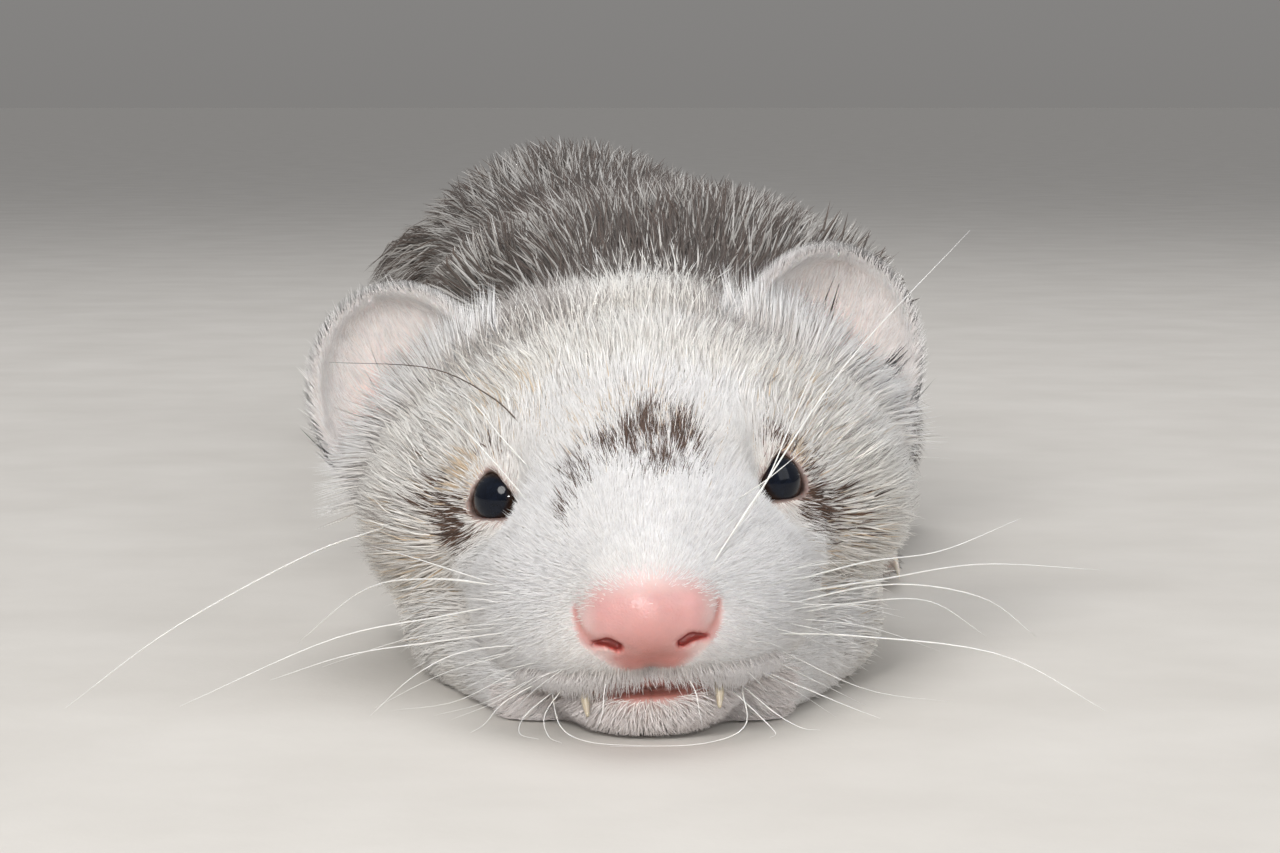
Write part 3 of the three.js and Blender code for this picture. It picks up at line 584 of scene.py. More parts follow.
class Nodes:
    """a material's node tree, built a node at a time"""

    def __init__(self, name):
        self.mat = bpy.data.materials.new(name)
        self.mat.use_nodes = True
        self.t = self.mat.node_tree
        self.bsdf = self.t.nodes["Principled BSDF"]

    def add(self, kind, **values):
        n = self.t.nodes.new(kind)
        for k, v in values.items():
            if k.startswith("in_"):
                n.inputs[int(k[3:]) if k[3:].isdigit() else k[3:].replace("_", " ")].default_value = v
            else:
                setattr(n, k, v)
        return n

    def link(self, a, b):
        self.t.links.new(a, b)

    def set(self, **values):
        for k, v in values.items():
            self.bsdf.inputs[k.replace("_", " ")].default_value = v

    def attribute(self, name):
        return self.add("ShaderNodeAttribute", attribute_name=name)

    def coords(self):
        return self.add("ShaderNodeTexCoord").outputs["Object"]

    def noise(self, scale, detail=3.0, rough=0.55, vector=None):
        n = self.add("ShaderNodeTexNoise")
        n.inputs["Scale"].default_value = scale
        n.inputs["Detail"].default_value = detail
        n.inputs["Roughness"].default_value = rough
        self.link(vector or self.coords(), n.inputs["Vector"])
        return n

    def range(self, value, a, b, c, d):
        n = self.add("ShaderNodeMapRange")
        n.inputs["From Min"].default_value, n.inputs["From Max"].default_value = a, b
        n.inputs["To Min"].default_value, n.inputs["To Max"].default_value = c, d
        self.link(value, n.inputs["Value"])
        return n.outputs["Result"]

    def maths(self, op, a, b):
        n = self.add("ShaderNodeMath", operation=op)
        for i, v in enumerate((a, b)):
            if isinstance(v, (int, float)):
                n.inputs[i].default_value = v
            else:
                self.link(v, n.inputs[i])
        return n.outputs[0]

    def times(self, colour, factor):
        """a colour made lighter or darker by a factor"""
        n = self.add("ShaderNodeVectorMath", operation="SCALE")
        self.link(colour, n.inputs[0])
        self.link(factor, n.inputs["Scale"])
        return n.outputs[0]

    def bump(self, height, strength, distance, base=None):
        n = self.add("ShaderNodeBump")
        n.inputs["Strength"].default_value, n.inputs["Distance"].default_value = strength, distance
        self.link(height, n.inputs["Height"])
        if base:
            self.link(base, n.inputs["Normal"])
        return n.outputs["Normal"]


def fur_material(name, rough=0.48, sheen=0.06, specular=0.22):
    """hair: the colour comes from the markings, a little uneven from strand to strand"""
    m = Nodes(name)
    m.set(Roughness=rough, Specular_IOR_Level=specular, Sheen_Weight=sheen, Sheen_Roughness=0.4, Sheen_Tint=(1, 0.98, 0.95, 1))
    n = m.noise(900.0, 2.0)
    m.link(m.times(m.attribute("Col").outputs["Color"], m.range(n.outputs["Fac"], 0.3, 0.7, 0.93, 1.05)), m.bsdf.inputs["Base Color"])
    return m.mat


def skin_material():
    """skin under the coat, with the nap of the shortest hairs as streaks that follow the lie of the coat"""
    m = Nodes("skin")
    m.set(Specular_IOR_Level=0.35, Subsurface_Weight=0.22, Subsurface_Radius=(1.0, 0.35, 0.2), Subsurface_Scale=0.0016)
    lie = m.attribute("Lie").outputs["Vector"]
    nap = m.noise(1.0, 3.0, 0.6, lie)
    fine = m.noise(1500.0, 3.0)
    coloured = m.times(m.attribute("Col").outputs["Color"], m.range(nap.outputs["Fac"], 0.3, 0.7, 0.88, 1.08))
    m.link(coloured, m.bsdf.inputs["Base Color"])
    wet = m.attribute("Wet").outputs["Fac"]
    m.link(m.range(wet, 0, 1, 0.62, 0.3), m.bsdf.inputs["Roughness"])
    first = m.bump(nap.outputs["Fac"], 0.5, 0.0003)
    m.link(m.bump(fine.outputs["Fac"], 0.25, 0.00006, first), m.bsdf.inputs["Normal"])
    return m.mat


def nose_material():
    """bare moist skin: pink, finely pebbled, with a soft wet shine"""
    m = Nodes("nose_skin")
    m.set(Specular_IOR_Level=0.5, Subsurface_Weight=0.35, Subsurface_Radius=(1.0, 0.3, 0.2), Subsurface_Scale=0.0018, Coat_Weight=0.4, Coat_Roughness=0.14)
    cells = m.add("ShaderNodeTexVoronoi", feature="DISTANCE_TO_EDGE")
    cells.inputs["Scale"].default_value = 2600.0
    warp = m.noise(1400.0, 2.0)
    co = m.coords()
    mix = m.add("ShaderNodeVectorMath", operation="MULTIPLY_ADD")
    m.link(warp.outputs["Color"], mix.inputs[0])
    mix.inputs[1].default_value = (0.0002, 0.0002, 0.0002)
    m.link(co, mix.inputs[2])
    m.link(mix.outputs[0], cells.inputs["Vector"])
    blotch = m.noise(420.0, 3.0)
    m.link(m.times(m.attribute("Col").outputs["Color"], m.range(blotch.outputs["Fac"], 0.3, 0.7, 0.94, 1.05)), m.bsdf.inputs["Base Color"])
    m.link(m.range(blotch.outputs["Fac"], 0.3, 0.7, 0.46, 0.34), m.bsdf.inputs["Roughness"])
    pebble = m.range(cells.outputs["Distance"], 0.0, 0.35, 0.0, 1.0)
    first = m.bump(pebble, 0.35, 0.00005)
    grain = m.bump(m.noise(700.0, 2.0).outputs["Fac"], 0.3, 0.0001, first)
    m.link(grain, m.bsdf.inputs["Normal"])
    m.link(m.bump(m.noise(1500.0, 3.0).outputs["Fac"], 0.6, 0.00012, grain), m.bsdf.inputs["Coat Normal"])
    return m.mat


def eye_material():
    m = Nodes("eye")
    m.set(Roughness=0.10, Specular_IOR_Level=0.12, Coat_Weight=0.5, Coat_Roughness=0.015, Coat_IOR=1.33)
    fibres = m.noise(1800.0, 4.0)
    m.link(m.times(m.attribute("Col").outputs["Color"], m.range(fibres.outputs["Fac"], 0.3, 0.7, 0.7, 1.3)), m.bsdf.inputs["Base Color"])
    return m.mat


def horn_material(name, rough, colour_noise=500.0, sss=0.25):
    """teeth and claws: the colour runs from root to tip, with fine grain along them"""
    m = Nodes(name)
    m.set(Specular_IOR_Level=0.5, Subsurface_Weight=sss, Subsurface_Radius=(1.0, 0.7, 0.45), Subsurface_Scale=0.0007, Coat_Weight=0.3, Coat_Roughness=0.2)
    n = m.noise(colour_noise, 4.0)
    m.link(m.times(m.attribute("Col").outputs["Color"], m.range(n.outputs["Fac"], 0.3, 0.7, 0.9, 1.06)), m.bsdf.inputs["Base Color"])
    m.link(m.range(n.outputs["Fac"], 0.3, 0.7, rough + 0.08, rough - 0.04), m.bsdf.inputs["Roughness"])
    m.link(m.bump(n.outputs["Fac"], 0.2, 0.00005), m.bsdf.inputs["Normal"])
    return m.mat


# ------------------------------------------------------------------ markings: the same for skin and coat
WHITE, CREAM, COOL = np.array([0.90, 0.885, 0.86]), np.array([0.86, 0.815, 0.73]), np.array([0.90, 0.90, 0.925])
PINK, ROSE = np.array([0.83, 0.57, 0.51]), np.array([0.74, 0.30, 0.27])
DARK, BROWN, TAN, GREY = np.array([0.045, 0.030, 0.024]), np.array([0.13, 0.070, 0.045]), np.array([0.54, 0.39, 0.25]), np.array([0.36, 0.33, 0.30])

# dark hairs on the head: centre and radii in the head frame, and how many of the hairs are dark there
HEAD_DARK = [
    ((2.1, -7.2, 29.2), (3.0, 4.2, 2.6), 0.98),
    ((4.6, -11.5, 26.8), (1.5, 3.2, 2.2), 0.62),
    ((-0.4, -10.2, 27.8), (1.6, 3.4, 2.2), 0.60),
    ((1.8, -12.5, 26.6), (1.7, 2.6, 2.2), 0.7),
    ((5.0, -8.0, 28.0), (1.4, 3.6, 2.6), 0.7),
    ((-2.6, -9.6, 27.9), (1.5, 3.2, 2.4), 0.8),
    ((-6.1, -11.7, 25.4), (1.2, 3.2, 2.2), 0.65),
    ((-7.8, -15.0, 22.4), (0.7, 2.4, 1.8), 0.55),
    ((-19.5, 2.6, 19.0), (2.8, 3.0, 2.1), 1.0),
    ((-21.6, 5.8, 20.6), (2.6, 3.0, 2.6), 0.75),
    ((-14.6, 1.2, 27.4), (1.4, 1.8, 0.9), 0.7),
    ((18.7, 1.5, 19.3), (2.4, 3.0, 2.4), 1.0),
    ((21.4, 4.9, 17.2), (2.8, 3.6, 2.6), 0.85),
    ((17.4, -7.6, 12.6), (1.6, 2.2, 0.9), 0.75),
    ((15.0, 0.9, 26.3), (2.0, 2.2, 1.4), 0.75),
    ((18.6, 3.0, 23.4), (1.4, 2.0, 1.6), 0.6),
]
HEAD_TAN = [
    ((-18.4, 4.3, 24.6), (2.8, 3.0, 2.0), 0.95),
    ((17.0, 1.6, 24.6), (1.8, 2.2, 1.4), 0.9),
    ((-24.5, 12.0, 15.0), (5.0, 6.0, 5.0), 0.28),
    ((22.0, 8.0, 13.0), (6.0, 8.0, 4.0), 0.25),
    ((20.0, 10.0, 30.0), (5.0, 6.0, 4.0), 0.22),
    ((-13.0, 8.0, 31.0), (5.0, 6.0, 4.0), 0.22),
    ((0.0, -4.0, 30.0), (7.0, 6.0, 4.0), 0.18),
]
TICKED = [((-12.0, 30.0, 38.5), (8.5, 13.0, 7.0), 0.90), ((-18.5, 28.0, 35.0), (6.0, 9.0, 6.0), 0.70), ((10.8, 29.0, 39.0), (7.0, 12.0, 7.0), 0.88), ((17.0, 26.0, 36.0), (5.0, 8.0, 5.0), 0.60), ((0, 48, 41), (28, 9, 10), 0.8), ((-25.5, 14.0, 18.0), (5.0, 9.0, 9.0), 0.25)]


def blobs(h, rows):
    out = np.zeros(len(h))
    for c, r, s in rows:
        out = 1 - (1 - out) * (1 - s * bell(h, c, r))
    return out


def markings(p):
    """at each point: share of dark hairs, share of tan, warmth from cool to cream, how much is roan, and share of ticked hairs"""
    h = to_head(p)
    y, z = p[:, 1], p[:, 2]
    u = waves(p, 7, 3)
    dark = np.clip(blobs(h, HEAD_DARK) * (1.25 + 0.45 * waves(p, 2.2, 5) + 0.75 * waves(p * vec(1, 0.22, 0.3), 0.9, 7)), 0, 1)
    # painted shade, in part: besides the grey-brown crown, an even share of ticked hairs rising towards the back of the
    # head also stands in for the shade between the strands
    tick = blobs(h, TICKED) * (1 - 0.9 * bell(h, (0.3, 30, 41), (4.6, 34, 12))) * (0.95 + 0.35 * waves(p, 4.0, 6)) + 0.11 * ease(y, -2, 16)
    tan = blobs(h, HEAD_TAN)
    warm = 0.18 + 0.36 * ease(y, -10, 14) - 0.25 * bell(h, (0, -18, 12), (16, 14, 14)) + 0.14 * u
    roan = ease(y + 4 * waves(p, 16, 8), 48, 78)
    stripe = bell(np.stack([p[:, 0] - 0.5, np.zeros(len(p)), np.zeros(len(p))], -1), (0, 0, 0), (6.5, 1, 1)) * (1 - ease(y, 60, 110)) * ease(z, 25, 36)
    roan = roan * (1 - 0.75 * stripe)
    body = 0.60 + 0.18 * waves(p, 34, 11) + 0.12 * waves(p, 9, 12) + 0.16 * ease(y, 230, 320) - 0.10 * ease(-z, -14, -4)
    body = body + 0.18 * bell(p, (8, 120, 48), (14, 22, 12))
    # legs are dark down to white mitts; the tail is dark with a grey root
    for s in (-1, 1):
        qf, qh = fore_side(p, s), hind_side(p, s)
        on_fore = ease(-foreleg(qf), -2.5, 1.0) * (y > 90) * (y < 175)
        on_hind = ease(-np.minimum(thigh(qh), hindfoot(qh)), -2.5, 1.0) * (y > 235) * (y < 335)
        body = body + 0.34 * on_fore * ease(-z, -26, -12) + 0.34 * on_hind * ease(-z, -26, -10)
        mitt_f = (1 - ease(y + 2 * waves(p, 6, 14), 103, 112)) * ease(y, 74, 80) * ease(qf[:, 0], 10, 15) * ease(-z, -13, -9)
        mitt_h = (1 - ease(y + 2 * waves(p, 6, 15), 262, 272)) * ease(y, 230, 234) * ease(qh[:, 0], 17, 22) * ease(-z, -12.5, -9)
        roan = roan * (1 - np.maximum(mitt_f, mitt_h))
    body = body + 0.38 * ease(y, 335, 390)
    on_ear = np.zeros(len(p))
    for s in (-1, 1):
        on_ear = np.maximum(on_ear, ease(-ear(p, s), -4.5, -2.0) * (y > 12) * (y < 46) * ease(ear_place(p, s)[:, 1], -12, -9))
    dark = dark * (1 - 0.9 * on_ear)
    roan = roan * (1 - on_ear)
    tick = np.clip(tick, 0, 0.92) * (1 - ease(on_ear, 0.55, 1.0)) * (1 - roan)
    return dark, tan, np.clip(warm * (1 - 0.8 * on_ear), 0, 1), roan, np.clip(body, 0.05, 0.97), tick


def coat_colours(p, r):
    """root and tip colour for a hair at p; r is a (n, 4) array of random numbers"""
    dark, tan, warm, roan, body, tick = markings(p)
    white = COOL + (CREAM - COOL) * warm[:, None]
    white = white * (0.80 + 0.27 * r[:, 2:3] ** 0.7)
    # painted shade: white hairs get roots darker and browner than the hair and tips a little lighter, for the shade
    # deep in the coat
    root, tip = white * np.array([0.80, 0.75, 0.70]), np.minimum(white * 1.06, 0.94)
    ticked = r[:, 3] < tick
    tone = (np.array([0.20, 0.175, 0.165]) + np.array([0.30, 0.285, 0.275]) * r[:, 1:2])[ticked]
    root[ticked], tip[ticked] = root[ticked] * 0.62 + tone * 0.38, tone
    is_tan = r[:, 1] < tan * 0.9
    root[is_tan], tip[is_tan] = TAN * 1.15, (TAN * 0.6 + CREAM * 0.4)
    is_dark = r[:, 0] < dark * 0.90
    shade = (DARK + (BROWN * 1.15 - DARK) * (r[:, 2:3] ** 0.9))[is_dark]
    root[is_dark], tip[is_dark] = shade * 1.2, shade * 0.75
    # roan: pale woolly undercoat, dark and white guard hairs
    on = r[:, 3] < roan
    k = on & (r[:, 0] < body)
    shade = (DARK * 1.25 + (BROWN - DARK) * 0.55 * (r[:, 2:3] ** 2))[k]
    root[k], tip[k] = GREY * 0.42, shade
    k = on & (r[:, 0] >= body)
    shade = (GREY * 0.95 + (WHITE - GREY * 0.95) * (0.08 + 0.55 * r[:, 1:2] ** 1.6))[k]
    # painted shade: the pale roan hairs get roots darker than their tips, for the shade deep in the coat
    root[k], tip[k] = shade * 0.62, shade
    return np.clip(root, 0, 0.95), np.clip(tip, 0, 0.95)


def skin_colours(p, n):
    """colour and wetness of the skin at each point"""
    h = to_head(p)
    m = mirrored(h)
    dark, tan, warm, roan, body, tick = markings(p)
    white = COOL + (CREAM - COOL) * warm[:, None]
    c = white * 0.86 * np.array([1.0, 0.93, 0.90])
    c = c + (GREY * 1.3 - c) * (tick * 0.45)[:, None]
    c = c + (TAN - c) * (tan * 0.6)[:, None]
    c = c + (BROWN * 1.2 - c) * (dark * 0.7)[:, None]
    under = GREY * 1.1 + (BROWN * 1.2 - GREY * 1.1) * (body * 0.7)[:, None]
    c = c + (under - c) * roan[:, None]
    wet = np.zeros(len(p))
    # bare pink skin: nose, lips and chin front, lids, inside of the ears
    head = p[:, 1] < 60
    on_nose = np.maximum(ease(-nose(h, m), -0.9, -0.25) * (h[:, 1] < -18), under_nose(h))
    pad = np.array([0.60, 0.325, 0.31])
    # painted highlight, in part: the band under the nostrils is whitened for the skin's own pale rim and for a wet
    # highlight; the top fades to the white of the fur and the outer upper sides are paler
    pad = pad[None] + (WHITE * 0.97 - pad)[None] * (0.55 * ease(h[:, 2], 14.2, 17.4) + 0.50 * ease(h[:, 2], 8.2, 9.0) * (1 - ease(h[:, 2], 9.2, 10.2)) * ease(np.abs(h[:, 0]), 2.8, 4.4) + 0.30 * ease(np.abs(h[:, 0]), 4.4, 6.5) * ease(h[:, 2], 10.6, 12.0))[:, None]
    pad = pad + (np.array([0.62, 0.21, 0.17]) - pad) * (0.90 * bell(h, (0, -26, 7.8), (3.8, 5, 1.6)) + 0.30 * bell(h, (0, -28, 10.0), (4.0, 4, 2.8)))[:, None]
    c = c + (pad - c) * on_nose[:, None]
    wet = np.maximum(wet, on_nose)
    hole, slit = nostril(m)
    # painted shade: the inside of the nostril hole is darkened to a deep red
    inside = ease(-hole, -0.35, 0.15) * (h[:, 1] < -22)
    # the slit up the side of the nose is darker and redder: partly the skin's own tint, partly painted shade in the
    # crease
    crease_tint_and_shade = np.exp(-((np.maximum(slit, 0) / 0.35) ** 2)) * (h[:, 1] < -22)
    c = c + (np.array([0.50, 0.17, 0.14]) - c) * (0.75 * crease_tint_and_shade)[:, None]
    c = c + (np.array([0.40, 0.035, 0.022]) - c) * inside[:, None]
    gap = ease(-mouth_gap(h), -0.8, 0.1) * (h[:, 1] < -14)
    # painted shade: the inside of the mouth is darker further back, deeper in the gap
    deep = ease(h[:, 1], -24.0, -20.5)
    mouth = np.array([0.46, 0.17, 0.135])[None] * (1 - 0.5 * deep)[:, None]
    throat = 0.85 * (1 - ease(h[:, 2], 3.6, 4.6)) * (h[:, 1] < -10) * (1 - ease(np.abs(h[:, 0]), 7.5, 11.0))
    c = c + (np.array([0.46, 0.315, 0.29]) - c) * throat[:, None]
    band = lip_band(h) * (0.92 + 0.08 * waves(p, 1.5, 41))
    lips, middle = np.array([0.42, 0.205, 0.165]), np.array([0.60, 0.35, 0.32])
    c = c + (lips + (middle - lips) * bell(h, (0, -23, 3.9), (3.6, 9, 1.3))[:, None] - c) * (0.93 * band)[:, None]
    c = c + (mouth - c) * gap[:, None]
    wet = np.maximum(wet, gap * 0.9)
    around, cc = eye_slit(m)
    rim = np.exp(-((np.maximum(around, 0) / 0.38) ** 2)) * (cc > 0.5) * head
    halo = np.exp(-((np.maximum(around, 0) / 1.2) ** 2)) * (cc > 0.5) * head
    c = c + (np.array([0.58, 0.42, 0.38]) - c) * (0.7 * halo)[:, None]
    c = c + (np.array([0.11, 0.065, 0.055]) - c) * (0.9 * rim)[:, None]
    wet = np.maximum(wet, rim)
    for s in (-1, 1):
        q = ear_place(p, s)
        near = np.exp(-(np.maximum(ear_skin(p, s), 0) / 1.5) ** 2) * (np.abs(p[:, 0]) > 8) * (p[:, 2] > 14) * (p[:, 1] < 42) * (p[:, 1] > 16)
        facing = ease(n @ EARS[s]["R"][2], -0.1, 0.4) * ease(-q[:, 2], -0.6, 0.6)
        cup = PINK + (WHITE * 0.95 - PINK) * (0.15 + 0.5 * ease(length((q[:, :2] + vec(0, 2.0)) / vec(*EARS[s]["r"][:2])), 0.25, 0.85))[:, None]
        cup = cup + (np.array([0.72, 0.33, 0.27]) - cup) * (0.85 * np.exp(-((ear_canal(p, s).clip(0) / 4.2)) ** 2))[:, None]
        c = c + (cup - c) * (near * facing)[:, None]
        back = near * (1 - facing) * 0.8
        c = c + (WHITE * 0.92 - c) * back[:, None]
        # painted shade: the ear canal is darkened to a deep brown where it goes in
        canal_shade = ease(-ear_canal(p, s), -0.6, 0.5) * near * ease(-q[:, 2], 2.5, 5.5)
        c = c + (np.array([0.20, 0.07, 0.055]) - c) * canal_shade[:, None]
    # pads of the paws
    pads = ease(-p[:, 2], -1.2, -0.6) * ease(-n[:, 2], 0.3, 0.7) * (((p[:, 1] > 78) & (p[:, 1] < 104)) | ((p[:, 1] > 234) & (p[:, 1] < 266)))
    c = c + (PINK * 0.9 - c) * pads[:, None]
    return np.clip(c, 0, 0.95), wet


# ------------------------------------------------------------------ the skin
AXES = [
    lines((-58, -38, 1.5), (-38, -20, 0.6), (-20, 20, 0.45), (20, 38, 0.6), (38, 46, 1.5)),
    lines((-31, 8, 0.45), (8, 36, 0.55), (36, 48, 1.1), (48, 80, 1.8), (80, 104, 0.8), (104, 236, 2.2), (236, 262, 0.8), (262, 350, 2.0), (350, 481, 1.5)),
    lines((-1.2, 26, 0.45), (26, 46, 0.55), (46, 60, 1.2)),
]
verts, quads = nets(field_on(skin, AXES), AXES)
verts = settle(skin, verts)
normals = unit(slope(skin, verts).astype(np.float32))
skin_rgb, wet = skin_colours(verts, normals)

fur_mat = fur_material("coat")
ear_mat = fur_material("ear_coat", rough=0.55, sheen=0.15)
skin_mat, nose_mat = skin_material(), nose_material()

hv = to_head(verts)
is_nose = ((((-nose(hv, mirrored(hv)) > -0.6) & (hv[:, 1] < -18.5)) | (under_nose(hv) > 0.5)) & (mouth_gap(hv) > 0.6))[quads].all(1)


def lie_of_coat(p, n):
    """unit direction of the hairs along the skin"""
    h = to_head(p)
    m = mirrored(h)
    side = np.sign(h[:, :1]) + (h[:, :1] == 0)
    # on the head the hairs run away from the nose; under the lips, away from the mouth
    pole = np.stack([np.zeros(len(h)), np.full(len(h), -25.0), 6.4 + 6.1 * ease(h[:, 2], 5, 10)], -1)
    d = unit(h - pole)
    e = m - vec(*EYE_C)
    r = length(e)
    away = unit(e - (e @ GAZE)[:, None] * GAZE) * np.concatenate([side, np.ones((len(h), 2))], 1)
    d = d + away * (1.5 * np.exp(-((r - 3.9).clip(0) / 3.4) ** 2))[:, None]
    d[:, 2] -= 0.25 * ease(np.abs(h[:, 0]), 12, 24) * ease(-h[:, 2], -22, -12)
    d = unit(d) @ HEAD_R.T
    xc, a, top, bot, _ = between(p[:, 1], TRUNK)
    across = (p[:, 0] - xc) / a
    back = np.stack([0.22 * across, np.ones(len(p)), -0.42 * np.abs(across) ** 1.5], -1)
    w = ease(p[:, 1], 26, 62)[:, None]
    d = d * (1 - w) + unit(back) * w
    _, slant, _, _, _ = tail_line(p[:, 1])
    w = ease(p[:, 1], 318, 345)[:, None]
    d = d * (1 - w) + unit(np.stack([slant, np.ones(len(p)), -0.05 * np.ones(len(p))], -1)) * w
    for s in (-1, 1):
        qf, qh = fore_side(p, s), hind_side(p, s)
        w = (ease(-foreleg(qf) - 3.2 + 4, 0.0, 2.5) * ease(-trunk(p), -60, 2) * (p[:, 1] > 95) * (p[:, 1] < 172) * (p[:, 2] < 26) * (qf[:, 0] > 18))[:, None]
        arm = np.stack([0.15 * s * np.ones(len(p)), -0.9 * ease(-p[:, 2], -20, -8), -0.75 * np.ones(len(p))], -1)
        d = d * (1 - w) + unit(arm) * w
        w = (ease(-forepaw(qf), -2.2, -0.6) * (p[:, 1] < 122) * (p[:, 2] < 13))[:, None]
        d = d * (1 - w) + unit(np.stack([0.10 * (qf[:, 0] - 22) / 6 * s, -np.ones(len(p)), -0.25 * np.ones(len(p))], -1)) * w
        w = (ease(-thigh(qh), -5.5, -3.0) * (p[:, 1] > 240) * (p[:, 1] < 330) * (qh[:, 0] > 20))[:, None]
        leg = np.stack([0.1 * s * np.ones(len(p)), 0.35 - 0.9 * ease(-p[:, 2], -22, -9), -0.75 * np.ones(len(p))], -1)
        d = d * (1 - w) + unit(leg) * w
        w = (ease(-hindfoot(qh), -2.2, -0.6) * (p[:, 1] < 318) * (p[:, 2] < 13) * (qh[:, 0] > 20))[:, None]
        d = d * (1 - w) + unit(np.stack([0.06 * (qh[:, 0] - 31) / 6 * s, -np.ones(len(p)), -0.22 * np.ones(len(p))], -1)) * w
        q = ear_place(p, s)
        w = ((ear_skin(p, s) < 0.6) & (p[:, 1] > 12) & (p[:, 1] < 50) & (q[:, 1] > -8.5))[:, None]
        fan = unit(np.stack([q[:, 0] * 0.9, q[:, 1] + 9.0, 0.25 * np.ones(len(p))], -1)) @ EARS[s]["R"]
        d = np.where(w, fan, d)
    d = d - n * (d * n).sum(-1)[:, None]
    return unit(d)


lie = lie_of_coat(verts, normals)
# a coordinate that is stretched along the lie of the coat, for the nap in the skin's material
along = (verts * lie).sum(-1)
side_dir = np.cross(normals, lie)
nap_at = np.stack([verts[:, 0] * 0.9 + 40, verts[:, 2] * 0.9 + 40, verts[:, 1] * 0.22 + 40], -1) * 1.0
face = 1 - ease(verts[:, 1], 0, 30)
radial = length(verts - vec(1.1, -26, 12))
turned = np.arctan2(verts[:, 0] - 1.1, verts[:, 2] - 12) * 11
nap_at = nap_at * (1 - face)[:, None] + np.stack([turned, radial * 0.3, np.zeros(len(verts))], -1) * face[:, None]
body_skin = mesh_object("skin", verts, quads, colours=skin_rgb, materials=(skin_mat, nose_mat), faces_material=is_nose, extra={"Wet": wet, "Lie": nap_at.astype(np.float32)})
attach(body_skin, "root")
FLESH = ["head", "lower_jaw", "nose", "ear_r", "ear_l", "neck", "chest", "loin", "rump", "tail_root", "tail_tip"]
FLESH += [f"{part}_{side}" for part in ("foreleg", "forepaw", "thigh", "hindfoot") for side in ("r", "l")]
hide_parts(*FLESH)

# ------------------------------------------------------------------ roots of the hairs
tri = np.concatenate([quads[:, [0, 1, 2]], quads[:, [0, 2, 3]]])
A, B, C = verts[tri[:, 0]], verts[tri[:, 1]], verts[tri[:, 2]]
area = 0.5 * length(np.cross(B - A, C - A))
mid = ((A + B + C) / 3).astype(np.float32)
mid_n = unit(normals[tri].sum(1))
mid_h = to_head(mid)
mid_m = mirrored(mid_h)

# which part each small face belongs to
EAR_OF = {s: (ear_skin(mid, s) < 0.35) & (mid[:, 1] > 14) & (mid[:, 1] < 44) & (mid[:, 2] > 14) & (ear_place(mid, s)[:, 1] > -7.0) & (head_core(mid_h, mid_m) > -2.6) for s in (-1, 1)}
part_ear = EAR_OF[-1] | EAR_OF[1]
part_foot, part_leg = np.zeros(len(mid), bool), np.zeros(len(mid), bool)
for s in (-1, 1):
    qf, qh = fore_side(mid, s), hind_side(mid, s)
    part_foot |= ((forepaw(qf) > -1.6) & (forepaw(qf) < 0) & (mid[:, 1] > 74) & (mid[:, 1] < 118) & (mid[:, 2] < 13) & (trunk(mid) > -5)) | ((hindfoot(qh) > -1.6) & (hindfoot(qh) < 0) & (mid[:, 1] > 230) & (mid[:, 1] < 316) & (mid[:, 2] < 13) & (trunk(mid) > -5))
    part_leg |= ((foreleg(qf) > -4.2) & (qf[:, 0] > 17) & (mid[:, 1] > 98) & (mid[:, 1] < 176) & (mid[:, 2] < 30)) | ((thigh(qh) > -6.2) & (qh[:, 0] > 17) & (mid[:, 1] > 240) & (mid[:, 1] < 335) & (mid[:, 2] < 34))
part_foot &= ~part_ear
part_leg &= ~part_foot
part_tail = (mid[:, 1] > 338) & ~part_leg & ~part_foot
part_head = (mid[:, 1] < 52) & ~part_ear
part_face = part_head & (mid_h[:, 1] < 0)
part_body = ~(part_ear | part_foot | part_leg | part_tail | part_head)

# bare places
bare = np.zeros(len(mid), bool)
pad_oval = np.where(((-nose(mid_h, mid_m) > -0.5) & (mid_h[:, 1] < -19)) | (under_nose(mid_h) > 0.3), length(np.stack([mid_h[:, 0] / 7.6, (mid_h[:, 2] - 11.4) / np.where(mid_h[:, 2] > 11.4, 5.2, 5.2)], -1)), 9.0)
bare |= pad_oval < 0.82
bare |= (mouth_gap(mid_h) < 0.15) & (mid_h[:, 1] < -14)
slit_mid, out_mid = eye_slit(mid_m)
bare |= (slit_mid < 0.15) & (out_mid > 0.2)
for s in (-1, 1):
    bare |= (ear_canal(mid, s) < 0.7) & (ear_place(mid, s)[:, 2] < -1.0) & (mid[:, 1] < 46)
bare |= (mid[:, 2] < 0.62)
hole, slit = nostril(mid_m)
bare |= (np.minimum(hole, slit) < 0.3) & (mid_h[:, 1] < -22)
under = ease(-mid_n[:, 2], 0.7, 0.98) * (mid[:, 2] < 8)
thin_out = (1 - 0.85 * under) * ~bare


def scatter(weight, count):
    """evenly spread roots: positions, normals and face numbers"""
    w = np.cumsum(area * weight)
    at = (np.arange(count) + rng.random(count)) / count * w[-1]
    f = np.minimum(np.searchsorted(w, at), len(w) - 1)
    a, b = rng.random(count), rng.random(count)
    over = a + b > 1
    a[over], b[over] = 1 - a[over], 1 - b[over]
    P = A[f] + a[:, None] * (B[f] - A[f]) + b[:, None] * (C[f] - A[f])
    n = (1 - a - b)[:, None] * normals[tri[f, 0]] + a[:, None] * normals[tri[f, 1]] + b[:, None] * normals[tri[f, 2]]
    return P.astype(np.float32), unit(n).astype(np.float32), f


def hold_in(P, most):
    """points further out than most above the coat's outline are brought back to it"""
    for _ in range(2):
        d = coat(P)
        far = np.nonzero(d > most)[0]
        if not len(far):
            break
        g = slope(coat, P[far], 0.3)
        P[far] -= (d[far] - (most[far] if isinstance(most, np.ndarray) else most))[:, None] * unit(g)
    P[:, 2] = np.maximum(P[:, 2], 0.25)
    return P


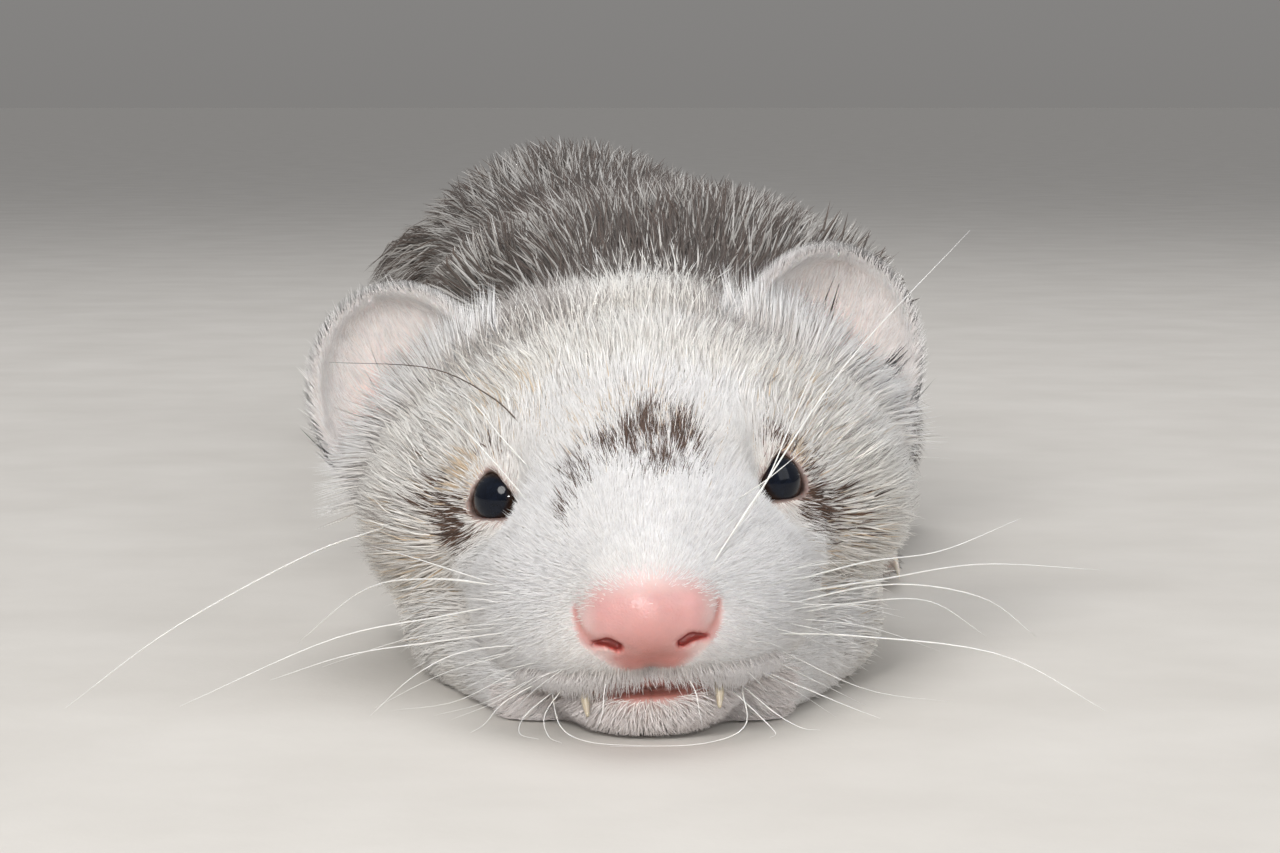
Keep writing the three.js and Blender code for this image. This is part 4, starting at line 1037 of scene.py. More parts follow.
def hairs(P, N, long, reach, spread=0.16, clump=(0, 0.0), bend=(1.35, 0.6), stray=0.0, over=0.12, lie=None):
    """two-piece hairs: roots P, lengths, how far up through the coat the tips come (share of its depth)"""
    n = len(P)
    T = (lie or lie_of_coat)(P, N)
    S = unit(np.cross(N, T))
    fan = rng.normal(0, spread, n) + 0.16 * waves(P, 6.0, 31) + 0.10 * waves(P, 2.5, 32)
    T = unit(T * np.cos(fan)[:, None] + S * np.sin(fan)[:, None])
    depth = np.maximum(-coat(P), 0.15)
    sink = np.minimum(0.22, 0.04 + 0.06 * depth)
    rise = np.clip((depth * reach + sink + 0.06) / long, 0.03, 0.92)
    tilt = np.arcsin(rise)
    a0, a1 = np.clip(tilt * bend[0], 0, 1.35), tilt * bend[1]
    root = P - N * sink[:, None]
    M = root + (T * np.cos(a0)[:, None] + N * np.sin(a0)[:, None]) * (long * 0.5)[:, None]
    E = M + (T * np.cos(a1)[:, None] + N * np.sin(a1)[:, None]) * (long * 0.5)[:, None]
    if clump[0]:
        tree = KDTree(max(1, n // clump[0]))
        pick = rng.permutation(n)[: max(1, n // clump[0])]
        for k, i in enumerate(pick):
            tree.insert(P[i], k)
        tree.balance()
        near = pick[np.array([tree.find(c)[1] for c in P])]
        pull = clump[1] * rng.uniform(0.5, 1.0, n)[:, None]
        E = E + (E[near] - E) * pull
        M = M + (M[near] - M) * pull * 0.45
    loose = rng.random(n) < stray
    most = np.where(loose, rng.uniform(0.3, 1.6, n), over)
    E[loose] += N[loose] * rng.uniform(0.3, 1.3, (loose.sum(), 1))
    return root, hold_in(M, np.full(n, max(0.05, over * 0.5))), hold_in(E, most), N


def clear_of_eyes(M, E, f=0.25):
    keep = np.ones(len(E), bool)
    for q in (M, E, (M + E) / 2):
        m = mirrored(to_head(q))
        slit, out = eye_slit(m)
        keep &= ~((slit < f) & (out > 0.5))
    return keep


def unwrap(P, kind):
    """the root's place on an unwrap of the skin's own shape"""
    if kind == "head":
        c = from_head(vec(0, 12, 15)[None])[0]
        d = unit(P - c)
        return np.arctan2(d[:, 0], d[:, 2]) / (2 * np.pi) + 0.5, np.arccos(np.clip(-d[:, 1], -1, 1)) / np.pi
    if kind == "ear":
        q = np.where((P[:, :1] < 0), ear_place(P, -1), ear_place(P, 1))
        inside = (q[:, 2] > -3.2) * 1.0
        return (q[:, 0] / 60 + 0.25) + 0.5 * (P[:, 0] > 0), q[:, 1] / 60 + 0.25 + 0.5 * inside
    if kind == "leg":
        xc = -7.0 - 0.16 * (P[:, 1] - 250)
        xc = np.where(P[:, 1] < 200, 2.5, xc)
        s = np.sign(P[:, 0] - xc)
        cx = xc + s * np.where(P[:, 1] < 200, 25, 27)
        return (np.arctan2((P[:, 0] - cx) * s, P[:, 2] - 7) / (2 * np.pi) + 0.5) * 0.5 + 0.5 * (s > 0), P[:, 1] / 400
    xc, a, top, bot, _ = between(P[:, 1], TRUNK)
    if kind == "tail":
        xc, _, _, zc, _ = tail_line(P[:, 1])
    else:
        zc = (top + bot) / 2
    return np.arctan2(P[:, 0] - xc, P[:, 2] - zc) / (2 * np.pi) + 0.5, P[:, 1] / 500


COAT_PIECES = []
LEAN = 0.46


def weave(name, hair, wide, kind, mat, straight=False, r=None, tint=None):
    """closed three-sided tufts from the hairs, cut into pieces, each with its own OFBake unwrap"""
    root, M, E, N = hair
    n = len(root)
    r = rng.random((n, 4)) if r is None else r
    c0, c1 = coat_colours((M + 0.0).astype(np.float32), r)
    if tint is not None:
        c0, c1 = np.clip(c0 * tint, 0, 0.95), np.clip(c1 * tint, 0, 0.95)
    u, v = unwrap(root, kind)
    per = 48000 if straight else 19500
    parts = int(np.ceil(n / per))
    order = np.argsort(v, kind="stable")
    for k, pick in enumerate(np.array_split(order, parts)):
        a, b, e, up, w = root[pick], M[pick], E[pick], N[pick], wide[pick]
        m = len(pick)
        if straight:
            b = e
        t0, t1 = unit(b - a), unit(e - b + 1e-6)
        s0, s1 = unit(np.cross(up, t0)), unit(np.cross(up, t1))
        u0, u1 = np.cross(t0, s0), np.cross(t1, s1)

        def ring(c, s, q, f):
            return np.stack([c - s * (w * 0.5 * f)[:, None], c + s * (w * 0.5 * f)[:, None], c + q * (w * 0.55 * f)[:, None]], 1)

        su = (u[pick] - u[pick].min()) / max(np.ptp(u[pick]), 1e-6) * 0.99 + 0.005
        sv = (np.argsort(np.argsort(v[pick], kind="stable"), kind="stable") / m) * 0.99 + 0.005
        side = np.array([-1.35, -0.45, 0.45]) * 1e-3

        def lit(s, q):
            """hair catches light as the coat does: its own roundness, turned mostly to the skin's outward side"""
            own = np.stack([-s - 0.3 * q, s - 0.3 * q, q], 1)
            return unit(up[:, None] * LEAN + own * (1 - LEAN))

        if straight:
            V = np.concatenate([ring(a, s0, u0, 1.0), e[:, None]], 1).reshape(-1, 3)
            i = np.arange(m)[:, None] * 4
            T = np.concatenate([i + [0, 1, 3], i + [1, 2, 3], i + [2, 0, 3], i + [2, 1, 0]], 1).reshape(-1, 3)
            Q = None
            col = np.stack([c0[pick]] * 3 + [c1[pick]], 1).reshape(-1, 3)
            shade = np.concatenate([lit(s0, u0), up[:, None]], 1).reshape(-1, 3)
            uv = np.zeros((m, 4, 3, 2))
            for j in range(3):
                uv[:, j] = np.array([[side[j], -1.3e-3], [side[j] + 0.9e-3, -1.3e-3], [side[j] + 0.45e-3, 1.4e-3]])
            uv[:, 3] = np.array([[-1e-3, -1.5e-3], [1e-3, -1.5e-3], [0, -1.35e-3]])
            uv = uv + np.stack([su, sv], -1)[:, None, None, :]
            uv = uv.reshape(-1, 2)
        else:
            V = np.concatenate([ring(a, s0, u0, 0.85), ring(b, s1, u1, 1.0), e[:, None]], 1).reshape(-1, 3)
            i = np.arange(m)[:, None] * 7
            Q = np.concatenate([i + [0, 1, 4, 3], i + [1, 2, 5, 4], i + [2, 0, 3, 5]], 1).reshape(-1, 4)
            T = np.concatenate([i + [3, 4, 6], i + [4, 5, 6], i + [5, 3, 6], i + [2, 1, 0]], 1).reshape(-1, 3)
            cm = c0[pick] * 0.45 + c1[pick] * 0.55
            col = np.stack([c0[pick]] * 3 + [cm] * 3 + [c1[pick]], 1).reshape(-1, 3)
            shade = np.concatenate([lit(s0, u0), lit(s1, u1), up[:, None]], 1).reshape(-1, 3)
            uq, ut = np.zeros((m, 3, 4, 2)), np.zeros((m, 4, 3, 2))
            for j in range(3):
                uq[:, j] = np.array([[side[j], -1.4e-3], [side[j] + 0.9e-3, -1.4e-3], [side[j] + 0.9e-3, 0], [side[j], 0]])
                ut[:, j] = np.array([[side[j], 0], [side[j] + 0.9e-3, 0], [side[j] + 0.45e-3, 1.45e-3]])
            ut[:, 3] = np.array([[-1e-3, -1.5e-3], [1e-3, -1.5e-3], [0, -1.42e-3]])
            at = np.stack([su, sv], -1)[:, None, None, :]
            uv = np.concatenate([(uq + at).reshape(-1, 2), (ut + at).reshape(-1, 2)])
        ob = mesh_object(name if parts == 1 else f"{name}_{k + 1}", V, Q, T, colours=col, uvs=np.clip(uv, 0, 1), materials=(mat,), shading=shade)
        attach(ob, "root")
        COAT_PIECES.append(ob)


share = 1.0


def amount(n):
    return int(n * share)


def head_length(P):
    h = to_head(P)
    y, z = h[:, 1], h[:, 2]
    L = np.interp(y, [-28, -21, -12, 0, 14, 34, 50, 60], [1.0, 1.8, 3.3, 5.2, 7.2, 9.2, 11, 12.5])
    L = L + 1.6 * ease(np.abs(h[:, 0]), 15, 24) * ease(-z, -28, -18) * ease(y, -4, 10)
    r = length(mirrored(h) - vec(*EYE_C))
    L = L * (0.36 + 0.64 * ease(r, 4.0, 9.5))
    L = L * (0.72 + 0.28 * ease(z, 2, 9)) + 0.8 * ease(-z, -5.5, -3) * ease(-y, 8, 16)
    oval = length(np.stack([h[:, 0] / 7.6, (z - 11.4) / np.where(z > 11.4, 5.4, 5.0)], -1))
    return L * (1 - 0.5 * (1 - ease(oval, 0.8, 1.5)) * (y < -18))


def coat_of(name, weight, count, long, wide, kind, mat, slot, straight=True, near_eyes=False, tint=None, **how):
    """one coat: roots by weight, then lengths and widths as functions of the roots"""
    P, N, _ = scatter(weight, amount(count))
    L = long(P, N) * rng.uniform(0.62, 1.2, len(P))
    reach = rng.uniform(*how.pop("reach", (0.4, 1.05)), len(P))
    hair = hairs(P, N, L, reach, **how)
    width = wide(P, L) * rng.uniform(0.78, 1.25, len(P))
    if near_eyes:
        keep = clear_of_eyes(hair[1], hair[2], 0.1)
        hair, width = [x[keep] for x in hair], width[keep]
    weave(name, hair, width, kind, mat, straight=straight, tint=tint)


def by_length(stops, widths):
    return lambda P, L: np.interp(L, stops, widths)


# face: the shortest hairs
w = part_face * thin_out * np.interp(mid_h[:, 1], [-28, -18, -6, 0], [22, 20, 13, 10])
w = w * (0.10 + 0.90 * ease(pad_oval, 0.82, 1.25)) * (1 - 0.93 * lip_band(mid_h)) * (1 - 0.85 * ease(-mid_h[:, 2], -4.9, -4.2) * (mid_h[:, 1] < -10) * (1 - ease(np.abs(mid_h[:, 0]), 7.5, 10.5)))
coat_of("coat_face", w, 58000, lambda P, N: head_length(P), by_length([0.6, 2, 5], [0.08, 0.115, 0.16]), "head", fur_mat, "coat_white", near_eyes=True, reach=(0.35, 1.05), spread=0.15, stray=0.03, over=0.2)

# the fringe of the upper lip and the beard of the chin, standing out a little
def hang(P, N):
    """down over the mouth, a little outwards and back at the sides"""
    h = to_head(P)
    d = unit(np.stack([0.055 * h[:, 0], -0.10 + 0.03 * np.abs(h[:, 0]), -1.0 + 0 * h[:, 2]], -1)) @ HEAD_R.T
    return unit(d - N * np.minimum((d * N).sum(-1), 0)[:, None] * 0.9)


w = part_face * thin_out * (np.abs(mid_h[:, 0]) < 12) * (mid_h[:, 1] < -12) * ease(-mid_h[:, 2], -7.9, -7.0) * ease(mid_h[:, 2], 6.0, 6.5) * (0.55 + 0.45 * ease(np.abs(mid_h[:, 0]), 3, 7))
coat_of("coat_lip", w, 2400, lambda P, N: 1.55 + 1.5 * ease(np.abs(to_head(P)[:, 0]), 2.5, 8.5), by_length([1, 3], [0.055, 0.085]), "head", fur_mat, "coat_white", straight=False, reach=(0.8, 1.8), spread=0.22, bend=(1.4, 0.3), over=0.6, lie=hang, tint=np.array([0.95, 0.93, 0.93]))
def beard(P, N):
    """a fan from the lower lip down and outwards"""
    h = to_head(P)
    d = unit(np.stack([0.15 * h[:, 0], 0.03 * np.abs(h[:, 0]), -1.0 + 0 * h[:, 2]], -1)) @ HEAD_R.T
    return unit(d - N * np.minimum((d * N).sum(-1), 0)[:, None] * 0.95)


w = part_face * thin_out * (mid_h[:, 1] < -9) * (0.12 + 0.88 * ease(-mid_h[:, 2], -4.8, -4.0)) * ease(-mid_h[:, 2], -5.6, -5.0)
coat_of("coat_chin", w, 3400, lambda P, N: np.full(len(P), 2.7), by_length([1, 3], [0.06, 0.085]), "head", fur_mat, "coat_white", straight=False, reach=(0.6, 1.5), spread=0.24, bend=(1.3, 0.7), over=0.8, lie=beard, tint=np.array([0.90, 0.85, 0.84]))
# forehead, cheeks, crown and throat
w = (part_head & ~part_face) * thin_out * np.interp(mid_h[:, 1], [0, 20, 52], [10, 8, 4.6])
coat_of("coat_head", w, 70000, lambda P, N: head_length(P), by_length([2, 6, 11], [0.12, 0.165, 0.21]), "head", fur_mat, "coat_white", near_eyes=True, spread=0.15, clump=(9, 0.3), stray=0.03)
coat_of("coat_locks", w, 9400, lambda P, N: head_length(P) * 1.08, by_length([2, 6, 11], [0.14, 0.19, 0.24]), "head", fur_mat, "coat_white", straight=False, near_eyes=True, spread=0.12, clump=(7, 0.5), stray=0.08)

# wisps standing along the crown, between the ears
w = part_head * thin_out * (bell(mid_h, (-11, 30, 38), (9, 10, 6)) + 0.7 * bell(mid_h, (9, 31, 39), (7, 9, 6)) + 0.5 * bell(mid_h, (0, 33, 41), (5, 9, 6)))
coat_of("coat_crown", w, 2600, lambda P, N: 7.5 + 3.0 * ease(-P[:, 0], 4, 12), by_length([4, 11], [0.11, 0.15]), "head", fur_mat, "coat_white", straight=False, reach=(1.1, 1.9), spread=0.24, clump=(6, 0.35), bend=(1.35, 0.75), over=3.2)

# ears: sparse and fine inside, denser behind and along the rim
fx, fn = mid, mid_n
q = np.where((fx[:, :1] < 0), ear_place(fx, -1), ear_place(fx, 1))
turn_in = np.where(fx[:, 0] < 0, fn @ EARS[-1]["R"][2], fn @ EARS[1]["R"][2])
rim = np.maximum(length((q[:, :2]) / vec(11, 12.3)), ease(q[:, 2], -1.5, 0.2))
w = part_ear * thin_out * np.where(turn_in > 0.15, 0.28 + 0.85 * ease(rim, 0.5, 0.92), 1.0)
coat_of("coat_ears", w, 22000, lambda P, N: np.full(len(P), 3.3), by_length([2, 4], [0.075, 0.095]), "ear", ear_mat, "ear_coat", reach=(0.4, 1.2), spread=0.16, stray=0.06, over=0.6, tint=np.array([1.10, 1.06, 1.06]))

# long white hairs from the head's edge, fanning out over the cup
def fringe_lie(P, N):
    d = np.zeros_like(P)
    for s in (-1, 1):
        q = ear_place(P, s)
        fan = np.stack([q[:, 0] + 8.5 * s, q[:, 1] + 10.0, -0.6 - 0.15 * np.maximum(q[:, 2], 0)], -1)
        fan[:, 1] = np.maximum(fan[:, 1], 1.0)
        d = np.where((P[:, :1] < 0) == (s < 0), unit(fan) @ EARS[s]["R"], d)
    return unit(d - N * np.minimum((d * N).sum(-1), 0)[:, None] * 0.8)


w = np.zeros(len(mid))
for s in (-1, 1):
    q = ear_place(mid, s)
    w += (np.sign(mid[:, 0]) == s) * part_head * ease(q[:, 2], -4.0, -2.5) * ease(-q[:, 2], -5.5, -1.0) * (length(q[:, :2] / vec(11, 12.4)) < 1.0) * ease(-(q[:, 0] * s), -7.0, -2.0)
coat_of("coat_ear_fringe", w * ~bare, 3000, lambda P, N: np.full(len(P), 7.2), by_length([3, 9], [0.08, 0.13]), "head", ear_mat, "coat_white", straight=False, reach=(0.3, 0.8), spread=0.18, clump=(8, 0.4), bend=(1.4, 0.2), over=3.2, lie=fringe_lie, tint=np.array([1.12, 1.12, 1.12]))

# neck, trunk
w = part_body * thin_out * np.interp(mid[:, 1], [46, 80, 130, 350], [3.6, 2.2, 1.0, 0.95])


def body_length(P, N):
    return np.interp(P[:, 1], [46, 80, 130, 300, 345], [10.5, 13, 17, 19, 20]) * (0.45 + 0.55 * ease(P[:, 2], 2, 14))


coat_of("coat_body", w, 40000, body_length, lambda P, L: np.interp(P[:, 1], [46, 80, 130, 350], [0.18, 0.21, 0.25, 0.27]), "body", fur_mat, "coat_roan", spread=0.13, clump=(9, 0.25), stray=0.03, reach=(0.35, 0.95))
coat_of("coat_guard", w, 24000, lambda P, N: body_length(P, N) * 1.06, lambda P, L: np.interp(P[:, 1], [46, 80, 130, 350], [0.20, 0.25, 0.32, 0.34]), "body", fur_mat, "coat_roan", straight=False, spread=0.14, clump=(9, 0.3), stray=0.04, reach=(0.4, 1.0))

# legs, paws, tail
coat_of("coat_legs", part_leg * thin_out * 1.0, 17000, lambda P, N: np.interp(P[:, 2], [2, 10, 26], [4.5, 7, 12]), by_length([4, 12], [0.20, 0.30]), "leg", fur_mat, "coat_dark", spread=0.16, clump=(7, 0.35), stray=0.04)
coat_of("coat_paws", part_foot * thin_out * 1.0, 18000, lambda P, N: np.full(len(P), 2.7), by_length([1, 4], [0.15, 0.19]), "leg", fur_mat, "coat_white", reach=(0.4, 1.1), spread=0.16, stray=0.03)


def tail_length(P, N):
    return np.interp(P[:, 1], [335, 380, 460, 480], [19, 21, 18, 14])


coat_of("coat_tail", part_tail * thin_out * 1.0, 11000, tail_length, by_length([10, 20], [0.28, 0.34]), "tail", fur_mat, "coat_dark", spread=0.15, clump=(7, 0.35), stray=0.04)
coat_of("coat_brush", part_tail * thin_out * 1.0, 8000, lambda P, N: tail_length(P, N) * 1.05, by_length([10, 20], [0.32, 0.42]), "tail", fur_mat, "coat_dark", straight=False, spread=0.15, clump=(7, 0.45), stray=0.06)

# ------------------------------------------------------------------ eyes
eye_mat = eye_material()


def make_eye(side, name, node):
    """a ball with the clear front standing out a little, its axis along the gaze"""
    rings, around = 40, 64
    a = np.pi * (np.arange(rings + 1) / rings) ** 1.15
    t = 2 * np.pi * np.arange(around) / around
    g, up, out = GAZE, EYE_UP, EYE_OUT
    rad = EYE_R - 0.02 + 0.14 * (1 - ease(a, 0.25, 0.95))
    V = (np.cos(a) * rad)[:, None, None] * g + (np.sin(a) * rad)[:, None, None] * (np.cos(t)[None, :, None] * up + np.sin(t)[None, :, None] * out)
    V = V[1:-1].reshape(-1, 3)
    V = np.concatenate([V, [g * rad[0]], [-g * rad[-1]]]) + EYE_C
    ang = np.concatenate([np.repeat(a[1:-1], around), [0, np.pi]])
    i, j = np.meshgrid(np.arange(rings - 2), np.arange(around), indexing="ij")
    Q = np.stack([i * around + j, (i + 1) * around + j, (i + 1) * around + (j + 1) % around, i * around + (j + 1) % around], -1).reshape(-1, 4)
    k = np.arange(around)
    n = (rings - 1) * around
    T = np.concatenate([np.stack([np.full(around, n), k, (k + 1) % around], -1), np.stack([np.full(around, n + 1), n - around + (k + 1) % around, n - around + k], -1)])
    pupil, iris, white = np.array([0.004, 0.006, 0.012]), np.array([0.020, 0.010, 0.006]), np.array([0.10, 0.06, 0.05])
    col = pupil + (iris - pupil) * ease(ang, 0.50, 0.62)[:, None]
    col = col + (white - col) * ease(ang, 1.12, 1.25)[:, None]
    if side < 0:
        V = V * vec(-1, 1, 1)
        Q, T = Q[:, ::-1], T[:, ::-1]
    ob = mesh_object(name, from_head(V), Q, T, colours=col, materials=(eye_mat,))
    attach(ob, "root")
    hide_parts(node)


make_eye(-1, "eye_ball_r", "eye_r")
make_eye(1, "eye_ball_l", "eye_l")


# ------------------------------------------------------------------ tapering curved tubes: teeth, claws, whiskers
def tube(points, radii, around=8, squash=None, steps=None):
    """closed tube along the points; squash is (direction, factor)"""
    pts = np.asarray(points, float)
    if steps:
        k = len(pts)
        s = np.linspace(0, k - 1, steps)
        ext = np.concatenate([[2 * pts[0] - pts[1]], pts, [2 * pts[-1] - pts[-2]]])
        i = np.minimum(s.astype(int), k - 2)
        t = (s - i)[:, None]
        p0, p1, p2, p3 = ext[i], ext[i + 1], ext[i + 2], ext[i + 3]
        pts = 0.5 * (2 * p1 + (p2 - p0) * t + (2 * p0 - 5 * p1 + 4 * p2 - p3) * t * t + (3 * p1 - p0 - 3 * p2 + p3) * t**3)
        radii = np.interp(np.linspace(0, 1, steps), np.linspace(0, 1, len(radii)), radii)
    T = np.gradient(pts, axis=0)
    T /= np.linalg.norm(T, axis=1)[:, None]
    ref = np.array([0, 0, 1.0]) if abs(T[0][2]) < 0.9 else np.array([1.0, 0, 0])
    S = np.cross(T, ref)
    S /= np.linalg.norm(S, axis=1)[:, None] + 1e-9
    U = np.cross(S, T)
    a = 2 * np.pi * np.arange(around) / around
    ring = np.cos(a)[None, :, None] * S[:, None] + np.sin(a)[None, :, None] * U[:, None]
    if squash is not None:
        d = np.asarray(squash[0], float)
        ring = ring - (ring @ d)[..., None] * d * (1 - squash[1])
    V = pts[:, None] + ring * np.asarray(radii)[:, None, None]
    n = len(pts)
    i, j = np.meshgrid(np.arange(n - 1), np.arange(around), indexing="ij")
    Q = np.stack([i * around + j, i * around + (j + 1) % around, (i + 1) * around + (j + 1) % around, (i + 1) * around + j], -1).reshape(-1, 4)
    k = np.arange(around)
    V = np.concatenate([V.reshape(-1, 3), [pts[0]], [pts[-1]]])
    T3 = np.concatenate([np.stack([np.full(around, n * around), (k + 1) % around, k], -1), np.stack([np.full(around, n * around + 1), (n - 1) * around + k, (n - 1) * around + (k + 1) % around], -1)])
    share = np.concatenate([np.repeat(np.linspace(0, 1, n), around), [0, 1]])
    return V, Q, T3, share


def join(name, parts, colour, mat, nodes=()):
    V, Q, T, S, at = [], [], [], [], 0
    for v, q, t, s in parts:
        V.append(v), Q.append(q + at), T.append(t + at), S.append(s)
        at += len(v)
    S = np.concatenate(S)[:, None]
    a, b = np.array(colour[0]), np.array(colour[1])
    V = np.concatenate(V)
    V[:, 2] = np.maximum(V[:, 2], 0.05)
    ob = mesh_object(name, V, np.concatenate(Q), np.concatenate(T), colours=a + (b - a) * S, materials=(mat,))
    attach(ob, "root")
    if nodes:
        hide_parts(*nodes)
    return ob


tooth_mat = horn_material("tooth", 0.3)
claw_mat = horn_material("claw", 0.36, 700.0)
for s, side in ((-1, "r"), (1, "l")):
    base, mid_t, tip = np.array([6.2 * s, -19.8, 6.6]), np.array([6.4 * s, -21.2, 4.2]), np.array([6.3 * s, -22.0, 2.75])
    pts = from_head(np.array([base, mid_t, tip]))
    join("canine_tooth_" + side, [tube(pts, [0.7, 0.72, 0.58, 0.38, 0.18], 14, (HEAD_R @ vec(1, 0, 0), 0.85), 14)], ((0.38, 0.31, 0.22), (0.52, 0.45, 0.34)), tooth_mat, ["canine_" + side])
    for t, paw, back, long in ((FORE_TOES, "fore", fore_side, 4.6), (HIND_TOES, "hind", hind_side, 3.8)):
        parts = []
        for i in range(5):
            a, b = (np.array(x, float) for x in toe(t, i))

            def world(q):
                x = 2.5 + q[0] * s if paw == "fore" else -7.0 - 0.16 * (q[1] - 250) + q[0] * s
                return np.array([x, q[1], q[2]])

            a, b = world(a), world(b)
            d = (b - a) * [1, 1, 0]
            d /= np.linalg.norm(d)
            out = (d + [0, 0, 0.12]) / np.linalg.norm(d + [0, 0, 0.12])
            start = b + out * (t["r"][1] - 1.2)
            base = b + out * (t["r"][1] + 0.3)
            middle = base + out * long * 0.5 + np.array([0, 0, -0.30])
            end = base + d * long * 0.95 + np.array([0, 0, -1.9])
            parts.append(tube([start, base, middle, end], [0.95, 1.0, 0.95, 0.72, 0.42, 0.08], 12, (np.cross(d, [0, 0, 1.0]), 0.7), 16))
        join(f"claws_{paw}_{side}", parts, ((0.72, 0.52, 0.45), (0.83, 0.77, 0.68)), claw_mat, [f"claw_{paw}_{side}_{i + 1}" for i in range(5)])

# ------------------------------------------------------------------ whiskers: root on the pad, then the course of the hair
WHISKERS = {
    "r": [
        [(-26.5, 12.5, 16.5), (-34.6, 4.0, 14.3), (-47.4, -2.0, 7.7), (-57.5, -6.0, 0.4)],
        [(-10.9, -18.5, 13.0), (-20.0, -8.0, 9.9), (-31.1, -4.0, 7.0), (-46.0, -6.0, 0.6)],
        [(-9.9, -20.7, 10.6), (-19.9, -9.0, 7.6), (-29.0, -6.0, 5.8), (-37.2, -4.0, 2.9)],
        [(-9.9, -20.3, 9.1), (-17.2, -13.0, 7.2), (-22.1, -12.0, 4.7), (-26.5, -12.0, 0.7)],
        [(-9.9, -19.6, 13.5), (-17.5, -8.0, 14.2), (-23.0, 0.0, 14.8), (-27.8, 6.0, 15.3)],
        [(-10.2, -18.7, 14.0), (-20.3, -6.0, 13.4), (-28.0, 3.0, 11.2), (-35.5, 8.0, 4.9)],
        [(-11.3, -9.0, 21.8), (-14.8, -9.5, 26.0), (-18.4, -6.0, 29.3), (-23.1, -2.0, 33.0)],
        [(-11.0, -4.5, 24.3), (-14.0, -4.0, 27.6), (-17.2, 0.0, 30.8), (-22.0, 6.0, 32.4)],
        [(-8.6, -17.5, 4.5), (-7.6, -22.5, 1.5), (-4.8, -25.5, 0.5), (0.5, -27.0, 0.4)],
        [(-7.2, -19.2, 4.9), (-9.1, -22.0, 2.5), (-8.7, -24.0, 0.8), (-7.4, -25.5, 0.4)],
        [(-9.0, -18.0, 5.4), (-13.1, -17.0, 2.9), (-15.0, -18.5, 1.0), (-16.3, -20.0, 0.4)],
        [(-8.2, -17.8, 4.2), (-11.0, -20.0, 2.1), (-11.5, -22.0, 0.7), (-9.6, -23.5, 0.4)],
        [(-3.0, -22.3, 7.0), (-3.4, -24.2, 5.0), (-3.6, -25.0, 3.0), (-4.2, -26.2, 1.6)],
    ],
    "l": [
        [(10.8, -20.8, 10.2), (21.8, -9.0, 8.1), (36.0, -6.0, 5.8), (46.3, -8.0, 0.5)],
        [(11.7, -19.2, 13.3), (24.0, -2.0, 12.8), (35.4, 8.0, 13.1), (48.7, 14.0, 11.7)],
        [(12.2, -19.0, 12.3), (25.0, -1.0, 12.2), (35.2, 6.0, 9.9), (41.2, 9.0, 5.4)],
        [(12.6, -18.2, 11.2), (22.4, -3.0, 10.7), (29.9, 5.0, 9.6), (36.0, 9.0, 5.4)],
        [(12.3, -18.0, 14.1), (22.3, -4.0, 14.8), (30.7, 3.0, 15.1), (39.3, 7.0, 18.0)],
        [(6.9, -22.0, 17.0), (12.1, -13.0, 23.6), (20.9, -4.0, 35.2), (33.7, 6.0, 47.7)],
        [(7.2, -21.0, 17.4), (12.1, -12.5, 23.4), (15.9, -6.0, 31.3), (20.1, 0.0, 39.9)],
        [(9.2, -13.1, 22.0), (12.2, -10.0, 23.6), (14.9, -6.5, 25.3), (17.6, -3.5, 27.2)],
        [(9.8, -18.2, 4.6), (10.0, -22.5, 1.5), (5.7, -26.5, 0.5), (-2.8, -27.2, 0.4)],
        [(10.0, -17.6, 4.5), (13.0, -18.5, 2.1), (15.5, -18.8, 0.7), (17.4, -18.5, 0.4)],
        [(9.0, -19.2, 4.3), (12.0, -20.5, 1.6), (13.0, -21.0, 0.5), (12.4, -22.5, 0.4)],
        [(11.5, -16.2, 6.0), (16.6, -14.5, 3.6), (20.6, -13.0, 1.7), (23.6, -12.5, 0.5)],
        [(4.0, -22.2, 7.0), (5.2, -24.0, 5.2), (5.6, -24.6, 3.4), (5.9, -25.4, 2.0)],
    ],
}
whisker_mat = horn_material("whisker", 0.35, 900.0, 0.1)
for s, side in ((-1, "r"), (1, "l")):
    parts = []
    for w in WHISKERS[side]:
        long = np.linalg.norm(np.diff(np.array(w), axis=0), axis=1).sum()
        r0 = 0.045 + 0.05 * min(long / 45, 1)
        parts.append(tube(w, [r0, r0, r0 * 0.8, r0 * 0.5, r0 * 0.18], 6, None, 18))
    # the shorter rows of the pad
    for row in range(4):
        for col in range(4):
            x, y, z = np.array([7.8 + 1.3 * col + 0.25 * row, -22.4 + 2.6 * col + 0.3 * row, 7.4 + 2.1 * row]) + rng.normal(0, 0.45, 3)
            root = np.array([x * s, y, z])
            root = settle(skin, from_head(root[None]), 6, 1.0)[0]
            long = (7 + 4.0 * col) * rng.uniform(0.6, 1.3)
            d = np.array([s * (0.62 + 0.06 * col), 0.55 + 0.1 * rng.normal(), (row - 2) * 0.17 - 0.06 + 0.06 * rng.normal()])
            d /= np.linalg.norm(d)
            droop = np.array([0, 0.12 * long, -0.16 * long])
            pts = np.array([root, root + d * long * 0.5 + droop * 0.2, root + d * long + droop])
            pts[:, 2] = np.maximum(pts[:, 2], 0.4)
            parts.append(tube(pts, [0.04, 0.04, 0.032, 0.02, 0.01], 5, None, 10))
    join("whiskers_" + side, parts, ((0.86, 0.84, 0.80), (0.93, 0.92, 0.90)), whisker_mat)
dark_brow = tube([(-11.8, 1.0, 28.0), (-15.3, 4.0, 30.9), (-21.8, 10.0, 33.3), (-32.8, 17.0, 33.4)], [0.085, 0.08, 0.06, 0.02], 6, None, 18)
join("whisker_brow_r", [dark_brow], ((0.10, 0.07, 0.05), (0.05, 0.035, 0.03)), whisker_mat)


